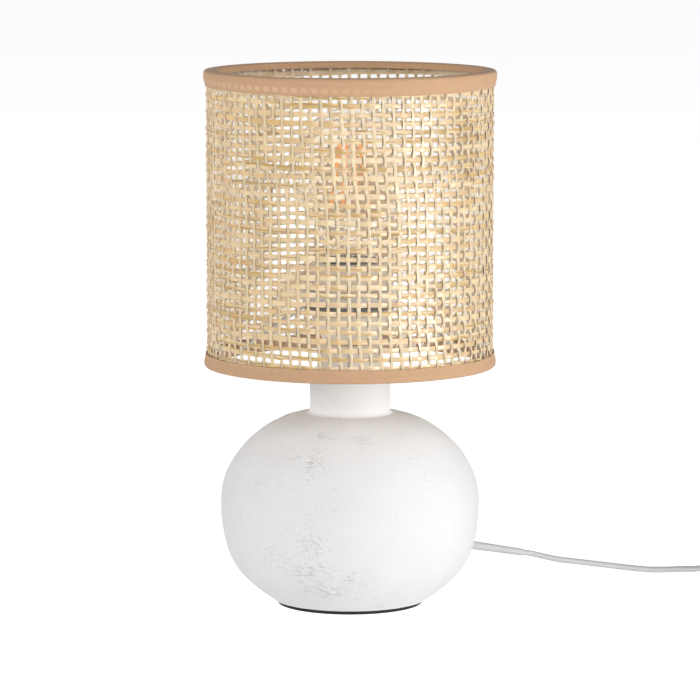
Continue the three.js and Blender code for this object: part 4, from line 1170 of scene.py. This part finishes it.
def stakes():
    """Upright leaves: each passes outside every other turn of the weft."""
    generator = np.random.default_rng(21)
    count = 158
    uneven = waves(count, generator)
    height = np.linspace(SHADE_BOTTOM + SHEET_MARGIN, SHADE_TOP - SHEET_MARGIN, count)
    strands = Strands()
    for k in range(STAKES):
        upright = STAKE_START + math.tau * k / STAKES
        angle = upright + sway(upright, height)
        row = row_number(angle, height)
        radius = WEAVE_RADIUS - STAKE_SWING * np.cos(math.pi * (row + k))
        width = uneven(STAKE_WIDTH + 0.15 * generator.normal(), (0.12, 14))
        across, out = leaf_section(np.clip(width, 1.3, 2.2) * MM, STAKE_THICKNESS)
        drift = uneven(0, (0.16, 30), (0.07, 9)) * MM
        lean = uneven(0, (0.07, 12))
        tone = uneven(0.12 + 0.22 * generator.normal(), (0.1, 20))
        # Painted shadow: the stake's left edge is painted dark, most where it passes over the
        # weft, as the shadow it casts there; partly the leaf's own brown edge.
        dark = np.clip(uneven(0.75, (0.4, 4)), 0, 1)
        dark = dark * np.clip(0.35 + 1.2 * np.cos(math.pi * (row + k + 1)), 0, 1)
        strands.add(
            ribbon(angle + drift / WEAVE_RADIUS, height, radius, across, out, lean, True),
            strand=strand_field(height, across, k + 1), tone=np.repeat(tone, 7),
            edge=(dark[:, None] * [1, 1, 0.9, 0, 0, 0.2, 0.3]).ravel(), gold=0.0, pale=0.3)
    strands.finish("raffia_stakes", ("staked_film",))


def weft():
    """One wound leaf: over and under the stakes in turn, uneven in width and height."""
    generator = np.random.default_rng(22)
    first = (SHADE_BOTTOM + SHEET_MARGIN + 1.3 * MM - FIRST_ROW) / ROW_PITCH
    last = (SHADE_TOP - SHEET_MARGIN - 0.6 * MM - FIRST_ROW) / ROW_PITCH
    count = round((last - first) * STAKES * 4.8)
    uneven = waves(count, generator)
    turn = np.linspace(first, last, count)
    width = np.clip(uneven(WEFT_WIDTH, (0.32, 26), (0.16, 8)), 1.5, 3.3) * MM
    lift = uneven(0, (0.2 * MM, 30), (0.09 * MM, 8))
    lean = uneven(0, (0.09, 20))
    across, out = leaf_section(width, WEFT_THICKNESS)
    tone = uneven(0.32, (0.24, 45), (0.14, 12))
    gold = np.clip(uneven(-0.33, (0.5, 26)), 0, 0.7)
    dark = np.clip(uneven(0, (0.35, 7)), 0, 0.6)
    strands = Strands()
    strands.add(ribbon(*weft_line(turn, lift), across, out, lean),
                strand=strand_field(math.tau * WEAVE_RADIUS * turn, across, 1),
                tone=np.repeat(tone, 7), gold=np.repeat(gold, 7),
                edge=(dark[:, None] * [0.6, 1, 0.5, 0, 0, 0.3, 0]).ravel())
    strands.finish("raffia_weft", ("weft_strand",))


def golden_fibres():
    """Loose golden fibres along the weft, in frayed spots: thin, tapered and slanting."""
    generator = np.random.default_rng(23)
    rows = (SHADE_TOP - SHADE_BOTTOM) / ROW_PITCH - 2.5
    strands = Strands()
    for spot in range(FRAYED_SPOTS):
        middle = generator.uniform(-0.5, rows)
        for k in range(generator.integers(2, 6)):
            length = generator.uniform(1.5, 9) / STAKES
            centre = middle + generator.normal() * 0.055
            count = max(10, round(length * STAKES * 6))
            uneven = waves(count, generator)
            turn = centre + np.linspace(-length / 2, length / 2, count)
            share = np.linspace(0, 1, count)
            taper = np.clip(np.sin(math.pi * share) ** 0.5, 0.12, 1)
            width = generator.uniform(0.3, 0.95) * MM * taper * uneven(1, (0.25, 6))
            lift = generator.uniform(-1.05, 1.05) + generator.normal() * 0.9 * (share - 0.5)
            angle, height, radius = weft_line(turn, uneven(lift, (0.22, 8)) * MM)
            radius = radius + (0.2 + 0.03 * k) * MM
            across = width[:, None] / 2 * [-1, -1, 1, 1]
            out = 0.05 * MM * np.array([-1, 1, 1, -1])
            gold = np.clip(0.95 + 0.2 * generator.normal(), 0.5, 1)
            edge = np.clip(0.25 * generator.normal(), 0, 0.4)
            along = math.tau * WEAVE_RADIUS * turn
            strands.add(ribbon(angle, height, radius, across, out),
                        strand=strand_field(along, across, 5 * spot + k),
                        tone=0.4, edge=edge, gold=gold)
    strands.finish("raffia_fibres", sharp=50)


def clear_film():
    """The clear film that the stakes are bonded to, inside the cloth."""
    radius, sides = 72.1 * MM, 240
    levels = np.linspace(SHADE_BOTTOM + SHEET_MARGIN, SHADE_TOP - SHEET_MARGIN, 12)
    vertices = np.concatenate([around(radius, full_turn(sides), level) for level in levels])
    shape = vertices, ring_faces(len(levels), sides)
    add_piece("clear_film", shape, FILM, "shade", sharp=60)


stakes()
weft()
golden_fibres()
clear_film()

# ---- cotton tapes


# Radii of the tape's two sides and of its outside edge, which is glued down on the cloth
TAPE_OUTER, TAPE_INNER, TAPE_HEM = 74.8, 67.5, 74.05
HALF_TAPE = 0.19  # half its thickness


def tape_line(outside, fold):
    """Middle line of the folded tape: (radius, distance from the shade's edge)."""
    drop = 0.2
    line = [(TAPE_HEM, outside), (TAPE_HEM + 0.05, outside - 1.2), (TAPE_OUTER, outside - 4),
            (TAPE_OUTER, drop), (TAPE_INNER, drop), (TAPE_INNER, fold)]
    return evenly(softened(line, 1.5, closed=False, steps=6), 0.55)


def folded_tape(name, node, edge, direction, outside, fold, seed, notches=(), narrower=0):
    """Tape folded over a wire ring: outside skirt, soft edge and inside fold."""
    line = tape_line(outside, fold)
    run = run_along(line)
    sides = STAKES * 8
    turn = full_turn(sides)
    normal = -outward(line)
    uneven = waves(sides, np.random.default_rng(seed), wrap=True)
    ripple = uneven(0, (0.13, 17), (0.08, 6))
    hem = uneven(0, (0.14, 40), (0.06, 9))
    hem = hem - narrower * (0.5 + 0.5 * np.sin(turn))  # at the back
    inside = line[:, 0] < 68.5
    skirt = (line[:, 0] > 73.8) & (line[:, 1] > 1.5)
    cut = np.zeros(sides)
    for angle in notches:
        gap = np.abs(angle_apart(turn, angle))
        cut = np.maximum(cut, np.clip(2.4 - gap * TAPE_INNER / 0.7, 0, 1))
    rings = []
    for side in (1, -1):
        for j in range(len(line))[::side]:
            radius, drop = line[j] + side * HALF_TAPE * normal[j]
            radius = radius + ripple * (1 if skirt[j] else 0.4) * min(1, line[j, 1] / 3)
            drop = np.full(sides, drop)
            if skirt[j]:
                drop = drop + hem * line[j, 1] / outside
            if inside[j]:
                drop = drop * (1 - cut * 0.68) + 0.5 * ripple * line[j, 1] / fold
            rings.append((radius, edge - direction * drop * MM, drop, run[j]))
    vertices = np.concatenate([
        around(radius * MM, turn, height) for radius, height, _, _ in rings])
    faces = ring_faces(len(rings), sides, closed=True)
    if direction > 0:
        faces = [face[::-1] for face in faces]
    piece = add_piece(name, (vertices, faces), TAPE, "shade", (node,), 60)
    cloth = [np.column_stack([turn * (TAPE_OUTER * MM), np.full(sides, at * MM), 0 * turn])
             for _, _, _, at in rings]
    glow = [show_through(radius, turn, height, drop) for radius, height, drop, _ in rings]
    paint(piece, cloth=np.concatenate(cloth),
          glow=np.concatenate(glow) * (1 if direction > 0 else 0.2))


def show_through(radius, angle, height, drop):
    """How much paler the tape's skirt is painted over the cloth's openings: painted light from
    behind.
    """
    row = row_number(angle, height)
    stake = (angle - sway(angle, height) - STAKE_START) / math.tau * STAKES
    between = np.clip((0.33 - np.abs((stake % 1) - 0.5)) / 0.1, 0, 1)
    opening = np.clip((0.3 - np.abs((row % 1) - 0.5)) / 0.1, 0, 1)
    # Painted light, strongest on the front left, fixed by the angle round the shade.
    lit = np.clip(0.42 - 0.9 * np.cos(angle), 0, 1) * np.clip(0.2 - np.sin(angle), 0, 1)
    return 0.6 * between * opening * lit * (drop > 2.5) * (radius > 74)


ARM_ANGLES = [math.radians(angle) for angle in (-90, 30, 150)]
folded_tape("upper_tape", "top_tape", SHADE_TOP, 1, 8.9, 3.2, 31, narrower=2.6)
folded_tape("lower_tape", "bottom_tape", SHADE_BOTTOM, -1, 6.9, 6.6, 32, ARM_ANGLES)

# ---- hidden fittings

for node, finish in (
        ("threaded_tube", ZINC), ("lower_nut", ZINC), ("upper_nut", ZINC),
        ("contact_block", STONEWARE), ("centre_contact", BRASS), ("side_contact", BRASS),
        ("inner_lead", FLEX)):
    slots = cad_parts[node].data.materials
    slots.clear()
    slots.append(finish.material)

# ---- light and floor

MIDDLE = (0, 0, 0.13)
# Where each lamp stands, what it is aimed at, its size in metres and its power in watts
LAMPS = {
    "strip": ((0.62, -0.52, 0.105), (0, 0, 0.105), (0.42, 0.14), 1.85),
    "window": ((2.0, -2.4, 0.45), MIDDLE, (2.0, 0.8), 9),
    "front": ((0.3, -3.4, 1.3), MIDDLE, (2.0, 2.2), 49),
    "fill": ((-2.4, -2.0, 0.6), MIDDLE, (2.0, 1.0), 12),
    "left_side": ((-2.6, -0.2, 0.6), MIDDLE, (1.6, 1.0), 29),
    "right_side": ((2.6, -0.2, 0.6), MIDDLE, (1.6, 1.0), 23.5),
}
REFLECTED = ("strip", "window", "front")  # the others would show as pale patches on the raffia
WORLD_GLOW = 0.12  # light from all round
FLOOR_GLOW = 0.17  # light that the whole floor gives off, as a lit sweep does
FLOOR_LIFT = 0.85  # the floor's glow as the camera and reflections see it


def add_lamps():
    for name, (location, aim, size, power) in LAMPS.items():
        data = bpy.data.lights.new(name, "AREA")
        data.shape = "RECTANGLE"
        data.size, data.size_y = size
        data.energy = power
        lamp = show(name, data)
        lamp.location = location
        ahead = Vector(aim) - Vector(location)
        lamp.rotation_euler = ahead.to_track_quat("-Z", "Y").to_euler()
        lamp.visible_glossy = name in REFLECTED


def add_world():
    """White to the camera and in reflections, and dim as a light."""
    world = bpy.data.worlds.new("studio")
    bpy.context.scene.world = world
    made = Nodes(world, "Background")
    made.put("Color", (1, 1, 1, 1))
    made.put("Strength", made.ramp(made.white_for_eye(), 0, 1, WORLD_GLOW, 1.0))


def add_floor():
    """A pale floor that looks white from the camera and keeps the lamp's faint shadow."""
    size = 30
    mesh = bpy.data.meshes.new("floor")
    mesh.from_pydata([(-size, -size, 0), (size, -size, 0), (size, size, 0), (-size, size, 0)],
                     [], [(0, 1, 2, 3)])
    made = Finish("floor_paint", None, (0.88, 0.88, 0.88), 0.9, Specular_IOR_Level=0.0,
                  Emission_Color=(1, 1, 1, 1))
    made.put("Emission Strength", made.ramp(made.white_for_eye(), 0, 1, FLOOR_GLOW, FLOOR_LIFT))
    mesh.materials.append(made.material)
    show("floor", mesh)


add_lamps()
add_world()
add_floor()

bpy.context.scene.view_settings.view_transform = "Standard"
